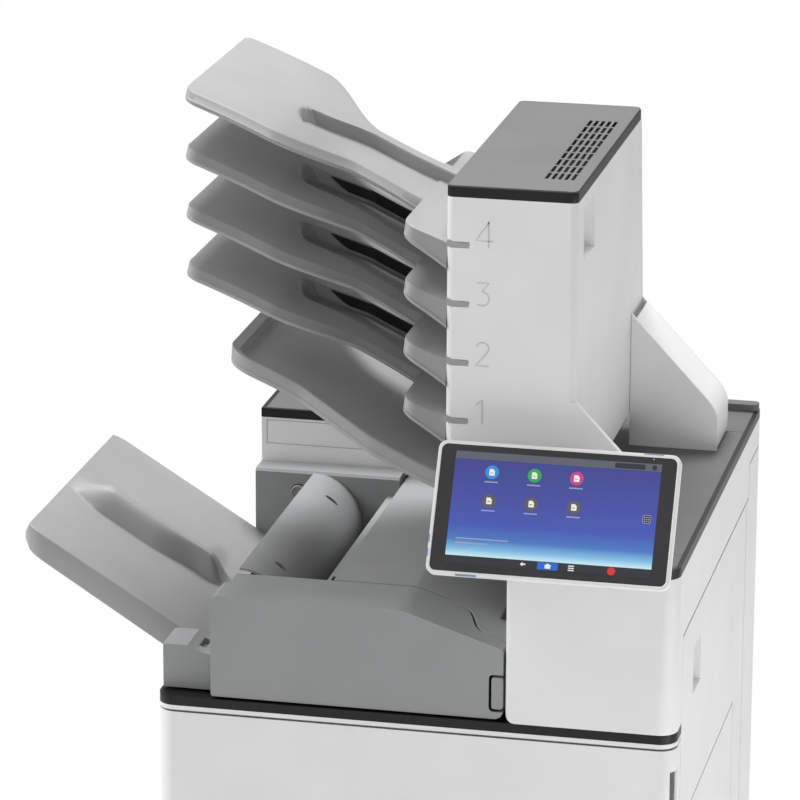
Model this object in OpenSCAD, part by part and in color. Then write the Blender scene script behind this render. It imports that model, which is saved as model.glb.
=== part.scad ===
// Floor-standing laser printer with an internal finisher, a four-bin mailbox and a tilting
// touch panel. x runs from the left side to the right, y from the front to the back, z up.
// The left cover is at x = 0, the front covers at y = 0 and the floor at z = 0 before
// at_home() moves the origin under the middle of the whole machine.

/* [Body] */
// Width of the body over its side covers
body_w = 587; // [575:1:600]
// Depth of the body over its front and rear covers
body_d = 622; // [612:1:640]
// Height of the grey top plates above the floor
body_h = 709; // [700:1:720]
// Wall of the plastic covers
cover_t = 3; // [2.5:0.1:3.5]
// Radius of the body's front corners, seen from above
corner_r = 20; // [12:1:21]
// Gap between neighbouring covers
seam = 3; // [2:0.5:4]
// Depth of the door and of the drawer fronts
front_t = 22; // [20:1:24]
// Height of the feet
foot_h = 12; // [10:1:16]
// Radius of the feet
foot_r = 20; // [15:1:24]
// Height of the bottom pan
pan_h = 28; // [24:1:32]
// Height of one drawer front
drawer_h = 101; // [98:1:104]
// Height of the black deck's top above the floor
deck_z = 518.5; // [514:0.5:522]
// Thickness of the black deck, which shows as the belt
deck_h = 15.5; // [12:0.5:17]

/* [Top] */
// Width of the cabinet that carries the tower and the panel
cabinet_w = 190; // [186:1:194]
// Depth of the housing behind the finisher
rear_d = 134; // [132:1:138]
// Height of the black band round the top plates
band_h = 11; // [9:1:14]
// Width of the black band's rim
band_w = 5; // [4:0.5:6]
// Thickness of the grey top plates
plate_t = 7; // [5:0.5:8]
// Depth of the front top plate
front_plate_d = 57; // [52:1:64]
// Height of the raised bar at the rear edge
bar_h = 9; // [7:1:12]
// Depth of the raised bar
bar_d = 17; // [14:1:20]

/* [Doors] */
// Depth of the strip between the front corner and the right door
post_d = 44; // [42:1:48]
// Distance from the right door's rear edge to the rear
right_door_rear = 95; // [90:1:102]
// Height of the right door's lower edge
right_door_z = 240.5; // [240.5:0.5:242]
// Height of the right door's upper edge
right_door_top = 618.5; // [612:0.5:620]
// Thickness of the duplex unit on the right door
duplex_t = 30; // [26:1:32]
// Width of the by-pass tray
bypass_w = 322; // [318:1:326]
// Height of the by-pass tray when it is closed
bypass_h = 134; // [130:1:136]
// Height of the by-pass tray's lower edge
bypass_z = 258; // [256:1:262]

/* [Tower] */
// Distance from the body's right side to the tower's right side
tower_inset = 130; // [126:1:134]
// Width of the tower
tower_w = 145; // [140:1:150]
// Distance from the front of the body to the tower
tower_y = 76; // [72:1:80]
// Distance from the tower's side cover to the rear
tower_rear = 182; // [178:1:186]
// Height of the tower above the top plates
tower_h = 396; // [390:1:404]
// Distance from the tower's side cover to its back edge at the top
tower_back_d = 52; // [48:1:56]
// Radius of the tower's upright edges
tower_r = 8; // [6:1:10]
// Height of the lowest numbered bin's lip above the top plates
bin_z = 130; // [126:1:134]
// Height from one bin to the next
bin_pitch = 66.6; // [64:0.2:68]
// Number of numbered bins
bin_count = 4; // [4:1:4]

/* [Trays] */
// Length of a bin tray along x
bin_len = 304; // [290:1:310]
// Rise of a bin tray from its lip to its tip
bin_rise = 147; // [140:1:152]
// Depth of the wide outer end of a bin tray
paddle_d = 296; // [288:1:304]
// Depth of a bin tray's narrow neck
neck_d = 130; // [120:1:140]
// Depth of the step from the rail down to the trough
trough_step = 13; // [10:1:15]
// Thickness of a bin tray at its tip
tip_t = 13; // [11:0.5:15]
// Thickness that the tray gains at the tower
root_t = 16; // [12:1:18]
// Length of the lowest tray along x
low_len = 257; // [250:1:262]
// Rise of the lowest tray
low_rise = 120; // [114:1:124]

/* [Finisher] */
// Left end of the finisher's front cover
fin_x = 62.5; // [60:0.5:64]
// Height of the finisher's flat top above the deck
fin_h = 121; // [118:1:124]
// Depth of the finisher's front cover
fin_front_d = 81; // [78:1:84]
// Distance from the front of the finisher's back wall to the rear housing
fin_back_gap = 42; // [40:1:44]
// Thickness of the finisher's back wall
fin_back_t = 34; // [30:1:36]
// Radius of the curved exit chute
chute_r = 61; // [58:1:62]
// Left end of the curved exit chute
chute_x = 75; // [74:1:78]
// Left edge of the finisher's lid
lid_x = 184; // [180:1:190]
// Gap between the stack tray and the finisher's back wall
stack_gap = 6.7; // [6:0.1:9]
// How far the stack tray reaches out to the left of the body
stack_reach = 179; // [172:1:182]
// Thickness of the stack tray
stack_t = 32; // [28:1:33]

/* [Panel] */
// Width of the touch panel
panel_w = 267; // [260:1:272]
// Height of the touch panel along its face
panel_h = 149; // [144:1:154]
// Thickness of the touch panel
panel_t = 18; // [15:1:20]
// Lean of the touch panel from upright, in degrees
panel_lean = 30; // [26:1:34]
// Radius of the touch panel's corners
panel_r = 10; // [8:1:14]

/* [Hidden] */
$fn = 48;

// Overrun of a cut past the face that it starts from
over = 1;
// Clearance between pieces of different bodies
clear = 0.3;
// Radial clearance of a shaft in its bore
run = 0.05;

// Heights and places that several pieces share
pan_z = foot_h;
pan_top = pan_z + pan_h;
drawer_z2 = pan_top + seam;
drawer_z1 = drawer_z2 + drawer_h + seam;
door_z = drawer_z1 + drawer_h + seam;
belt_z = deck_z - deck_h;
door_top = belt_z - seam;
rear_y = body_d - rear_d;
right_door_end = body_d - right_door_rear;
tower_d = body_d - tower_rear - tower_y;
fin_back_y = rear_y - fin_back_gap;
inner_rear = 62;
inner_back = body_d - inner_rear;
cabinet_x = body_w - cabinet_w;
band_z = body_h - band_h;
plate_z = body_h - plate_t;
side_gap = 2;
side_y = front_t + side_gap;
side_top = belt_z - seam;
frame_t = 3;
frame_x = 8;
frame_y = 27;
frame_gap_back = 22;
frame_gap_right = 16;
frame_back = body_d - frame_gap_back;
frame_right = body_w - frame_gap_right;
boss_r = 5;
stack_tip_x = -stack_reach;

// The origin lies on the floor under the middle of the whole machine
panel_face_y = -10;
panel_rise = 58.6;
panel_inset = 137;
panel_face_z = body_h + panel_rise;
panel_x = body_w - panel_inset;
front_reach = panel_face_y - sin(panel_lean)*panel_h/2;
origin_x = (body_w + stack_tip_x)/2;
origin_y = (body_d + front_reach)/2;

module at_home() { translate([-origin_x, -origin_y, 0]) children(); }

// A box given by its lowest and highest corners
module block(x, y, z) {
    translate([x[0], y[0], z[0]]) cube([x[1] - x[0], y[1] - y[0], z[1] - z[0]]);
}

// An outline seen from above, raised from z[0] to z[1]
module plan(z) { translate([0, 0, z[0]]) linear_extrude(z[1] - z[0]) children(); }

// An outline seen from the front, in x and z, drawn out from y[0] to y[1]
module front_view(y) {
    translate([0, y[1], 0]) rotate([90, 0, 0]) linear_extrude(y[1] - y[0]) children();
}

// An outline seen from the side, in y and z, drawn out from x[0] to x[1]
module side_view(x) {
    translate([x[0], 0, 0]) rotate([90, 0, 90]) linear_extrude(x[1] - x[0]) children();
}

// A shaft or bore along y
module along_y(x, z, y, r) {
    translate([x, y[1], z]) rotate([90, 0, 0]) cylinder(r = r, h = y[1] - y[0]);
}

// A shaft or bore along x
module along_x(y, z, x, r) {
    translate([x[0], y, z]) rotate([0, 90, 0]) cylinder(r = r, h = x[1] - x[0]);
}

// A rectangle with round corners, given by its lowest and highest corners
module round_rect(x, y, r) {
    translate([x[0] + r, y[0]]) square([x[1] - x[0] - 2*r, y[1] - y[0]]);
    translate([x[0], y[0] + r]) square([x[1] - x[0], y[1] - y[0] - 2*r]);
    for (cx = [x[0] + r, x[1] - r], cy = [y[0] + r, y[1] - r]) translate([cx, cy]) circle(r);
}

// A rectangle whose two front corners are round
module front_round(x, y, r) intersection() {
    round_rect(x, [y[0], y[1] + 2*r], r);
    translate([x[0], y[0]]) square([x[1] - x[0], y[1] - y[0]]);
}

// A row of slots along a line, for vents
module slots(count, pitch) { for (i = [0:count - 1]) translate([0, 0, i*pitch]) children(); }

// Body covers and frame

foot_inset_x = 50;
foot_inset_y = 60;
foot_stem_r = 6;
foot_neck_r = 14;
module feet() color("dimgray") at_home()
    for (x = [foot_inset_x, body_w - foot_inset_x], y = [foot_inset_y, body_d - foot_inset_y])
        translate([x, y, 0]) {
            cylinder(r = foot_r, h = foot_h/2);
            translate([0, 0, foot_h/2]) cylinder(r = foot_neck_r, h = foot_h/2);
            cylinder(r = foot_stem_r, h = foot_h + cover_t);
        }

pan_rib_t = 4;
pan_ribs = 4;
module bottom_pan() color("gainsboro") at_home() difference() {
    block([frame_x, body_w - frame_x], [frame_y, frame_back + frame_t], [pan_z, pan_top]);
    for (i = [0:pan_ribs - 1]) {
        bay = (body_w - 2*frame_x - pan_rib_t)/pan_ribs;
        x0 = frame_x + pan_rib_t + i*bay;
        block([x0, x0 + bay - pan_rib_t], [frame_y + pan_rib_t, frame_back + frame_t - pan_rib_t],
            [pan_z + cover_t, pan_top + over]);
    }
    for (x = [foot_inset_x, body_w - foot_inset_x], y = [foot_inset_y, body_d - foot_inset_y])
        translate([x, y, pan_z - over]) cylinder(r = foot_stem_r + run, h = cover_t + 2*over);
}

vent_l = 120;
vent_w = 4;
vent_pitch = 9;
vent_count = 12;
grip_l = 110;
grip_h = 26;
module left_cover() color("whitesmoke") at_home() {
    difference() {
        block([0, cover_t], [side_y, body_d - cover_t], [pan_top + seam, side_top]);
        slots(vent_count, vent_pitch)
            block([-over, cover_t + over], [frame_back - 2*vent_l, frame_back - vent_l],
                [door_z + vent_pitch, door_z + vent_pitch + vent_w]);
        block([-over, cover_t + over], [body_d/2 - grip_l/2, body_d/2 + grip_l/2],
            [drawer_z1 - grip_h, drawer_z1]);
    }
    for (y = [side_y + 3*boss_r, frame_back - 3*boss_r], z = [pan_top + 4*boss_r, side_top - 4*boss_r])
        along_x(y, z, [over, frame_x], boss_r);
    difference() {
        block([0, frame_x], [body_d/2 - grip_l/2 - cover_t, body_d/2 + grip_l/2 + cover_t],
            [drawer_z1 - grip_h - cover_t, drawer_z1 + cover_t]);
        block([-over, frame_x - cover_t], [body_d/2 - grip_l/2, body_d/2 + grip_l/2],
            [drawer_z1 - grip_h, drawer_z1]);
    }
}

inlet_w = 50;
inlet_h = 28;
inlet_x = 70;
inlet_d = 14;
pin_w = 2;
pin_h = 4;
pin_l = 10;
pin_pitch = 7;
fan_r = 38;
fan_x = 440;
fan_z = 420;
fan_bars = 3;
module rear_cover() color("whitesmoke") at_home() {
    inlet_z = pan_top + inlet_h;
    difference() {
        block([0, body_w], [body_d - cover_t, body_d], [pan_top + seam, band_z]);
        slots(vent_count, vent_pitch)
            block([inlet_x, inlet_x + vent_l], [body_d - cover_t - over, body_d + over],
                [door_z, door_z + vent_w]);
        for (i = [-fan_bars:fan_bars]) {
            half = sqrt(fan_r*fan_r - i*i*vent_pitch*vent_pitch);
            block([fan_x - half, fan_x + half], [body_d - cover_t - over, body_d + over],
                [fan_z + i*vent_pitch, fan_z + i*vent_pitch + vent_w]);
        }
        block([inlet_x, inlet_x + inlet_w], [body_d - cover_t - over, body_d + over],
            [inlet_z, inlet_z + inlet_h]);
    }
    difference() {
        block([inlet_x - cover_t, inlet_x + inlet_w + cover_t], [body_d - inlet_d, body_d - over],
            [inlet_z - cover_t, inlet_z + inlet_h + cover_t]);
        block([inlet_x, inlet_x + inlet_w], [body_d - inlet_d + cover_t, body_d],
            [inlet_z, inlet_z + inlet_h]);
    }
    for (i = [-1:1])
        translate([inlet_x + inlet_w/2 + i*pin_pitch - pin_w/2, body_d - inlet_d,
            inlet_z + inlet_h/2 + (i == 0 ? pin_h/2 : -pin_h)]) cube([pin_w, pin_l, pin_h]);
    for (x = [frame_x + 3*boss_r, frame_right - 3*boss_r], z = [pan_top + 8*boss_r, side_top - 4*boss_r])
        along_y(x, z, [frame_back + frame_t, body_d - over], boss_r);
}

module right_cover() color("whitesmoke") at_home() {
    low_top = right_door_z - seam;
    difference() {
        union() {
            block([body_w - cover_t, body_w], [side_y, body_d - cover_t], [pan_top + seam, strip_z - seam]);
            for (y = [[side_y, post_d - seam/2], [right_door_end + seam, right_door_end + 4*seam]])
                block([frame_right + frame_t + clear, body_w], y,
                    [right_door_z - 2*seam, rd_pivot_z + 2*hinge_inset]);
        }
        block([body_w - cover_t - over, body_w + over], [post_d - seam/2, right_door_end + seam],
            [low_top, body_h]);
        block([body_w - cover_t - over, body_w + over], [0, post_d], [side_top, body_h]);
        block([body_w - cover_t - over, body_w + over], [post_d, right_door_end + 6*seam],
            [right_door_top, body_h]);
        along_y(rd_pivot_x, rd_pivot_z, [side_y + seam, body_d], rd_pin_r + run);
        slots(vent_count/2, vent_pitch)
            block([body_w - cover_t - over, body_w + over], [rear_y, rear_y + vent_l/2],
                [drawer_z1 - vent_pitch, drawer_z1 - vent_pitch + vent_w]);
    }
    for (y = [side_y + 3*boss_r, right_door_end + 4*boss_r], z = [pan_top + 4*boss_r, low_top - 4*boss_r])
        along_x(y, z, [frame_right + frame_t, body_w - over], boss_r);
}

strip_drop = 34;
strip_z = band_z - strip_drop;
corner_cut = 12;
cabinet_r = 7;
// The cabinet seen from above: a small radius beside the finisher and a large one on the right
module cabinet_plan(inset, end) {
    front_round([cabinet_x + corner_r, body_w - inset], [inset, end], corner_r - inset);
    front_round([cabinet_x + inset, body_w - 2*corner_r], [inset, end], max(cabinet_r - inset, over));
}
module front_cabinet() color("whitesmoke") at_home() {
    difference() {
        plan([deck_z, band_z]) cabinet_plan(0, body_d - cover_t);
        plan([deck_z - over, band_z + over]) cabinet_plan(cover_t, body_d - cover_t);
        block([cabinet_x - over, body_w - cover_t - over], [rear_y, body_d],
            [deck_z - over, band_z + over]);
        block([body_w - cover_t - 2*over, body_w + over], [post_d, body_d],
            [deck_z - over, right_door_top + seam]);
        block([body_w - cover_t - 2*over, body_w + over], [right_door_end + 5*seam, body_d],
            [deck_z - over, strip_z]);
        front_view([-over, corner_r]) difference() {
            translate([cabinet_x - over, deck_z - over]) square(corner_cut + over);
            translate([cabinet_x + corner_cut, deck_z + corner_cut]) circle(corner_cut);
        }
    }
    block([cabinet_x + over, body_w - over], [rear_y - cover_t, rear_y], [band_z - corner_r, band_z]);
    block([cabinet_x + corner_r, body_w - corner_r], [over, front_plate_d/2],
        [deck_z, deck_z + cover_t]);
}

slot_t = 0.3;
rail_h = 2.2;
rail_w = 10;
rail_inset = 60;
module deck() color("#262626") at_home() {
    difference() {
        union() {
            plan([belt_z, deck_z]) front_round([0, body_w], [0, post_d - seam/2], corner_r);
            plan([belt_z, deck_z]) translate([0, corner_r])
                square([cabinet_x + corner_r, frame_back - slot_t - corner_r]);
            block([0, frame_x - slot_t], [frame_back - over, body_d - cover_t], [belt_z, deck_z]);
        }
        block([frame_x - slot_t, cabinet_x + 2*corner_r], [frame_back - slot_t, body_d],
            [belt_z - over, deck_z + over]);
        translate([door_pivot_x, door_pivot_y, belt_z - over]) cylinder(r = pin_r + run, h = over + 2*seam);
    }
    for (y = [rail_inset, fin_back_y - rail_inset])
        block([rail_w, cabinet_x - 2*rail_w], [y, y + rail_w], [deck_z, deck_z + rail_h]);
}

toner_x = 122;
toner_z = 392;
toner_r = 52;
bay_left = 232;
bay_inset = 67;
bay_low = 268;
bay_high = 420;
bay_x = [bay_left, body_w - bay_inset];
bay_z = [bay_low, bay_high];
inner_inset = 40;
cap_drop = 3;
ring_drop = 1;
module inner_cover() color("#c9cbcc") at_home() difference() {
    block([frame_x + frame_t, body_w - inner_inset], [frame_y, frame_y + cover_t],
        [door_z + seam, belt_z - seam]);
    along_y(toner_x, toner_z, [0, rear_y], toner_r + clear);
    block(bay_x, [0, rear_y], bay_z);
}

module top_outline(inset) {
    cabinet_plan(inset, body_d - inset);
    translate([inset, rear_y + inset]) square([cabinet_x, rear_d - 2*inset]);
}
ledge_w = 12;
module top_band() color("#262626") at_home() difference() {
    plan([band_z, body_h]) top_outline(0);
    plan([plate_z, body_h + over]) top_outline(band_w);
    plan([band_z - over, body_h + over]) top_outline(ledge_w);
}

plate_gap = 1;
main_gap = 6;
main_end = right_door_end - main_gap;
module plates(y) color("#8f8f8f") at_home() intersection() {
    plan([plate_z, body_h]) top_outline(band_w + clear/2);
    block([-over, body_w + over], y, [plate_z, body_h]);
}
module top_plate_front() plates([0, front_plate_d]);
module top_plate_main() color("#8f8f8f") at_home() intersection() {
    plan([plate_z, body_h]) top_outline(band_w + clear/2);
    block([cabinet_x, body_w], [front_plate_d + plate_gap, main_end], [plate_z, body_h]);
}
module top_plate_rear() {
    color("#8f8f8f") at_home() difference() {
        plan([plate_z, body_h]) top_outline(band_w + clear/2);
        block([cabinet_x, body_w], [0, main_end + plate_gap], [plate_z - over, body_h + over]);
    }
    color("#262626") at_home()
        plan([body_h, body_h + bar_h]) round_rect([0, body_w], [body_d - bar_d, body_d], bar_d/2 - over);
}

groove = 0.8;
panel_line = 30;
module rear_housing() color("whitesmoke") at_home() difference() {
    union() {
        block([0, cabinet_x], [rear_y, rear_y + cover_t], [deck_z, band_z]);
        block([0, cover_t], [rear_y, body_d - cover_t], [deck_z, band_z]);
        block([cabinet_x/2, cabinet_x/2 + cover_t], [rear_y, frame_back], [deck_z, band_z]);
    }
    front_view([rear_y - over, rear_y + groove]) difference() {
        translate([2*cover_t + groove, band_z - panel_line - cover_t])
            square([cabinet_x - 4*cover_t, panel_line]);
        translate([2*cover_t + 2*groove, band_z - panel_line - cover_t + groove])
            square([cabinet_x - 4*cover_t - 2*groove, panel_line - 2*groove]);
    }
}

feed_inset = 47;
feed_drop = 10;
feed_x = body_w - feed_inset;
feed_dz = drawer_h - feed_drop;
feed_shaft_r = 4;
ear_t = 4;
ear_y = 236;
ear_h = 7;
module feed_ear(z) difference() {
    block([feed_x - 2*feed_shaft_r, frame_right + frame_t], [ear_y, ear_y + ear_t], [z - ear_h, z + ear_h]);
    along_y(feed_x, z, [ear_y - over, ear_y + ear_t + over], feed_shaft_r + run);
}
beam_h = 12;
module engine_frame() color("#b9bcbe") at_home() difference() {
    union() {
        block([frame_x, frame_x + frame_t], [frame_y, frame_back + frame_t], [pan_top, belt_z]);
        block([frame_right, frame_right + frame_t], [frame_y, frame_back + frame_t],
            [pan_top, right_door_z - 2*seam]);
        block([frame_x, frame_right + frame_t], [frame_back, frame_back + frame_t],
            [pan_top, band_z - seam]);
        block([frame_x, body_w - inner_inset], [frame_y + cover_t, frame_y + 2*cover_t + beam_h],
            [belt_z - beam_h, belt_z]);
        block([frame_right, frame_right + frame_t], [ear_y, ear_y + ear_t],
            [pan_top, drawer_z1 + feed_dz + ear_h]);
        for (z = [drawer_z1, drawer_z2]) feed_ear(z + feed_dz);
        block([door_pivot_x - 2*pin_r + over, door_pivot_x + 2*pin_r],
            [door_pivot_y - 2*pin_r, frame_y + over],
            [door_z - seam + clear, door_z - clear]);
        for (x = [frame_x + frame_t, frame_right - rail_w], z = [drawer_z1, drawer_z2])
            block([x - over, x + rail_w + over], [frame_y, frame_back + over],
                [z + drawer_lift - rail_h - clear, z + drawer_lift - clear]);
    }
    translate([door_pivot_x, door_pivot_y, door_z - seam]) cylinder(r = pin_r + run, h = seam);
    for (z = [drawer_z1, drawer_z2])
        along_y(feed_x, z + feed_dz, [frame_back - over, frame_back + frame_t + over], feed_shaft_r + run);
    along_y(drum_x, drum_z, [frame_back - over, frame_back + frame_t + over], drum_shaft_r + run);
    for (x = [fuser_x, fuser_x + 2*fuser_r + clear])
        along_y(x, fuser_z, [frame_back - over, frame_back + frame_t + over], fuser_shaft_r + run);
}

laser_h = 46;
laser_x1 = 372;
laser_front = 92;
laser_rear = 114;
laser_back = body_d - laser_rear;
laser_lip = 32.2;
laser_hub_x = 148.8;
laser_y = [laser_front, laser_back];
module laser_unit() color("#3b3d40") at_home() {
    side_view([frame_x + frame_t, laser_x1]) polygon([[laser_y[0], belt_z - laser_lip],
        [laser_y[0] + laser_h, belt_z - laser_h], [laser_y[1], belt_z - laser_h],
        [laser_y[1], belt_z], [laser_y[0], belt_z]]);
    translate([laser_hub_x, (laser_y[0] + laser_y[1])/2, belt_z - laser_h - rail_w])
        cylinder(r = laser_h, h = rail_w);
}

drum_inset = 117;
drum_x = body_w - drum_inset;
drum_z = 352;
drum_r = 30;
drum_shaft_r = 6;
end_t = 5;
drum_front = 34;
drum_back = inner_back;
drum_y = [drum_front, drum_back];
module drum_frame() color("#2d3034") at_home() difference() {
    union() {
        for (y = [drum_y[0], drum_y[1]])
            block([bay_x[0] + seam, bay_x[1] - seam], [y, y + end_t], [bay_z[0] + seam, bay_z[1] - seam]);
        block([bay_x[0] + seam, drum_x - drum_r - 4*seam], [drum_y[0], drum_y[1] + end_t],
            [bay_z[0] + seam, bay_z[1] - 4*seam]);
        block([bay_x[0] + seam, bay_x[1] - seam], [drum_y[0], frame_back],
            [bay_z[1] - 2*seam, bay_z[1] - seam]);
        block([bay_x[0] + 5*seam, bay_x[0] + 5*seam + rail_w], [frame_y - over, drum_y[0] + over],
            [bay_z[0] + 6*seam, bay_z[1] - 6*seam]);
    }
    along_y(drum_x, drum_z, [drum_y[0] - over, drum_y[1] + end_t + over], drum_shaft_r + run);
}
module drum() color("#2f7f63") at_home() {
    along_y(drum_x, drum_z, [drum_y[0] + end_t + clear, drum_y[1] - clear], drum_r);
    along_y(drum_x, drum_z, [drum_y[0] - over, frame_back + frame_t], drum_shaft_r);
}

cap_l = 14;
ring_count = 9;
module toner_bottle() color("#e7e4da") at_home() {
    bottle = [frame_y - over + cap_l, drum_back];
    along_y(toner_x, toner_z, [bottle[0] - over, bottle[1]], toner_r - cap_drop);
    for (i = [0:ring_count - 1]) {
        y = bottle[0] + cap_l + i*(bottle[1] - bottle[0] - 2*cap_l)/ring_count;
        along_y(toner_x, toner_z, [y, y + cap_l], toner_r - ring_drop);
    }
    along_y(toner_x, toner_z, [frame_y - over, frame_y - over + cap_l], toner_r);
    block([toner_x - toner_r/2, toner_x + toner_r/2], [frame_y - 4*over, frame_y],
        [toner_z - cover_t, toner_z + cover_t]);
    along_y(toner_x, toner_z, [drum_back - over, frame_back], toner_r/3);
}

fuser_inset = 107;
fuser_x = body_w - fuser_inset;
fuser_z = 572;
fuser_r = 20;
fuser_shaft_r = 6;
fuser_front = 70;
fuser_back = inner_back;
fuser_y = [fuser_front, fuser_back];
module fuser_frame() color("#6d7073") at_home() difference() {
    union() {
        for (y = fuser_y)
            block([fuser_x - fuser_r - end_t, fuser_x + 3*fuser_r + 2*end_t], [y, y + end_t],
                [fuser_z - fuser_r, fuser_z + 2*fuser_r]);
        block([fuser_x - fuser_r - end_t, fuser_x + 3*fuser_r + 2*end_t], [fuser_y[0], frame_back],
            [fuser_z + 2*fuser_r - end_t, fuser_z + 2*fuser_r]);
        block([fuser_x - fuser_r - end_t, fuser_x - fuser_r - end_t + cover_t], [fuser_y[0], fuser_y[1]],
            [fuser_z, fuser_z + 2*fuser_r]);
    }
    for (x = [fuser_x, fuser_x + 2*fuser_r + clear])
        along_y(x, fuser_z, [0, body_d], fuser_shaft_r + run);
}
module fuser_pair_roller(x) {
    along_y(x, fuser_z, [fuser_y[0] + end_t + clear, fuser_y[1] - clear], fuser_r);
    along_y(x, fuser_z, [fuser_y[0] - over, frame_back + frame_t], fuser_shaft_r);
}
module fuser_roller() color("#7a3f2c") at_home() fuser_pair_roller(fuser_x);
module pressure_roller() color("#3a3a3a") at_home() fuser_pair_roller(fuser_x + 2*fuser_r + clear);

guide_w = 15;
guide_ribs = 14;
guide_rib_t = 3;
guide_front = 96;
guide_rear = 162;
guide_back = body_d - guide_rear;
guide_rise = 96;
guide_drop = 4;
guide_y = [guide_front, guide_back];
guide_z = [deck_z + guide_rise, band_z - guide_drop];
module exit_guide() color("#5d6063") at_home() {
    block([cabinet_x - cover_t, cabinet_x], guide_y, guide_z);
    for (i = [0:guide_ribs - 1]) {
        y = guide_y[0] + i*(guide_y[1] - guide_y[0] - guide_rib_t)/(guide_ribs - 1);
        front_view([y, y + guide_rib_t]) polygon([[cabinet_x - cover_t/2, guide_z[0]],
            [cabinet_x - guide_w, guide_z[0] + guide_w], [cabinet_x - guide_w, guide_z[0] + 2*guide_w],
            [cabinet_x - cover_t/2, guide_z[1]]]);
    }
}

// Feed rollers of the two drawers
tyre_r = 9;
tyre_w = 24;
module feed_roller(z) {
    along_y(feed_x, z, [ear_y - 2*over, frame_back + frame_t], feed_shaft_r);
    for (y = [ear_y + 2*ear_t, ear_y + 2*ear_t + 2*tyre_w]) along_y(feed_x, z, [y, y + tyre_w], tyre_r);
}
module feed_roller_1() color("#4a4a4a") at_home() feed_roller(drawer_z1 + feed_dz);
module feed_roller_2() color("#4a4a4a") at_home() feed_roller(drawer_z2 + feed_dz);

// Front door and the two drawers

door_pivot_x = 8;
door_pivot_y = 12;
pin_r = 3;
door_rim = 16;
door_ribs = 5;
door_grip_h = 84;
door_grip_d = 12;
door_grip_drop = 26;
module front_door() color("whitesmoke") at_home() difference() {
    union() {
        difference() {
            plan([door_z, door_top]) front_round([0, body_w], [0, front_t], corner_r);
            plan([door_z + cover_t, door_top - cover_t]) difference() {
                round_rect([door_rim, body_w - door_rim], [cover_t, front_t + corner_r], cover_t);
            }
        }
        for (i = [1:door_ribs - 1])
            block([i*body_w/door_ribs, i*body_w/door_ribs + cover_t], [over, door_rim],
                [door_z + cover_t, door_top - cover_t]);
        translate([door_pivot_x, door_pivot_y, door_z - seam + clear])
            cylinder(r = pin_r, h = door_top - door_z + 2*seam);
    }
    block([body_w - door_grip_d, body_w + over], [door_grip_d/2, front_t + over],
        [door_top - door_grip_drop - door_grip_h, door_top - door_grip_drop]);
}

grip_w = 180;
drawer_grip_h = 24;
drawer_grip_d = 15;
module drawer_front(z) color("whitesmoke") at_home() difference() {
    plan([z, z + drawer_h]) front_round([0, body_w], [0, front_t], corner_r);
    block([body_w/2 - grip_w/2, body_w/2 + grip_w/2], [-over, drawer_grip_d],
        [z + drawer_h - drawer_grip_h, z + drawer_h + over]);
    front_view([-over, drawer_grip_d]) translate([body_w/2, z + drawer_h - drawer_grip_h])
        for (s = [-1, 1]) translate([s*grip_w/2, drawer_grip_h/2]) circle(drawer_grip_h/2);
}
module drawer_front_1() drawer_front(drawer_z1);
module drawer_front_2() drawer_front(drawer_z2);

drawer_lift = 6;
box_wall = 2.5;
box_x = [frame_x + frame_t + over, frame_right - over];
box_y1 = inner_back;
box_h = 70;
lift_x = 130;
lift_pin_r = 2;
lift_front = 80;
lift_rear = 102;
lift_back = body_d - lift_rear;
lift_y = [lift_front, lift_back];
module drawer_box(z) color("#5a5d60") at_home() {
    floor_z = z + drawer_lift;
    difference() {
        block(box_x, [front_t, box_y1], [floor_z, floor_z + box_h]);
        block([box_x[0] + box_wall, box_x[1] - box_wall], [front_t + box_wall, box_y1 - box_wall],
            [floor_z + box_wall, floor_z + box_h + over]);
    }
    for (y = [lift_y[0] - ear_t, lift_y[1]]) difference() {
        block([lift_x - 2*ear_t, lift_x + ear_t], [y, y + ear_t], [floor_z + over, floor_z + 4*ear_t]);
        along_y(lift_x, floor_z + 2*ear_t, [y - over, y + ear_t + over], lift_pin_r + run);
    }
}
module drawer_box_1() drawer_box(drawer_z1);
module drawer_box_2() drawer_box(drawer_z2);

lift_t = 2;
module lift_plate(z) color("#b9bcbe") at_home() {
    axis_z = z + drawer_lift + 2*ear_t;
    along_y(lift_x, axis_z, [lift_y[0] - ear_t, lift_y[1] + ear_t], lift_pin_r);
    along_y(lift_x, axis_z, [lift_y[0] + clear, lift_y[1] - clear], ear_t - run);
    block([lift_x, box_x[1] - 5*box_wall], [lift_y[0] + clear, lift_y[1] - clear],
        [axis_z - ear_t, axis_z - ear_t + lift_t]);
}
module lift_plate_1() lift_plate(drawer_z1);
module lift_plate_2() lift_plate(drawer_z2);

// Right door with the by-pass tray

door_y = [post_d + seam/2, right_door_end - seam/2];
hinge_inset = 4.5;
rd_pivot_x = body_w - hinge_inset;
rd_pivot_z = right_door_z + hinge_inset - over;
rd_pin_r = 2.5;
bypass_shift = 3.5;
bypass_y0 = (door_y[0] + door_y[1] - bypass_w)/2 + bypass_shift;
bypass_y = [bypass_y0, bypass_y0 + bypass_w];
bypass_t = 12;
recess_d = 26;
recess_gap = 2.5;
pull_gap = 80;
pull_w = 53;
pull_rise = 4;
pull_h = 56;
pull_y = [post_d + pull_gap, post_d + pull_gap + pull_w];
pull_z = [deck_z + pull_rise, deck_z + pull_rise + pull_h];
pull_d = 15;
duplex_z = [bypass_z + bypass_h + 3*seam, right_door_top - 6*seam];
duplex_y = [door_y[0] + 8*seam, door_y[1] - 8*seam];
bp_inset = 5;
bp_pivot_x = body_w - bp_inset;
bp_pivot_z = bypass_z + bp_inset;
duplex_ribs = 12;
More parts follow.
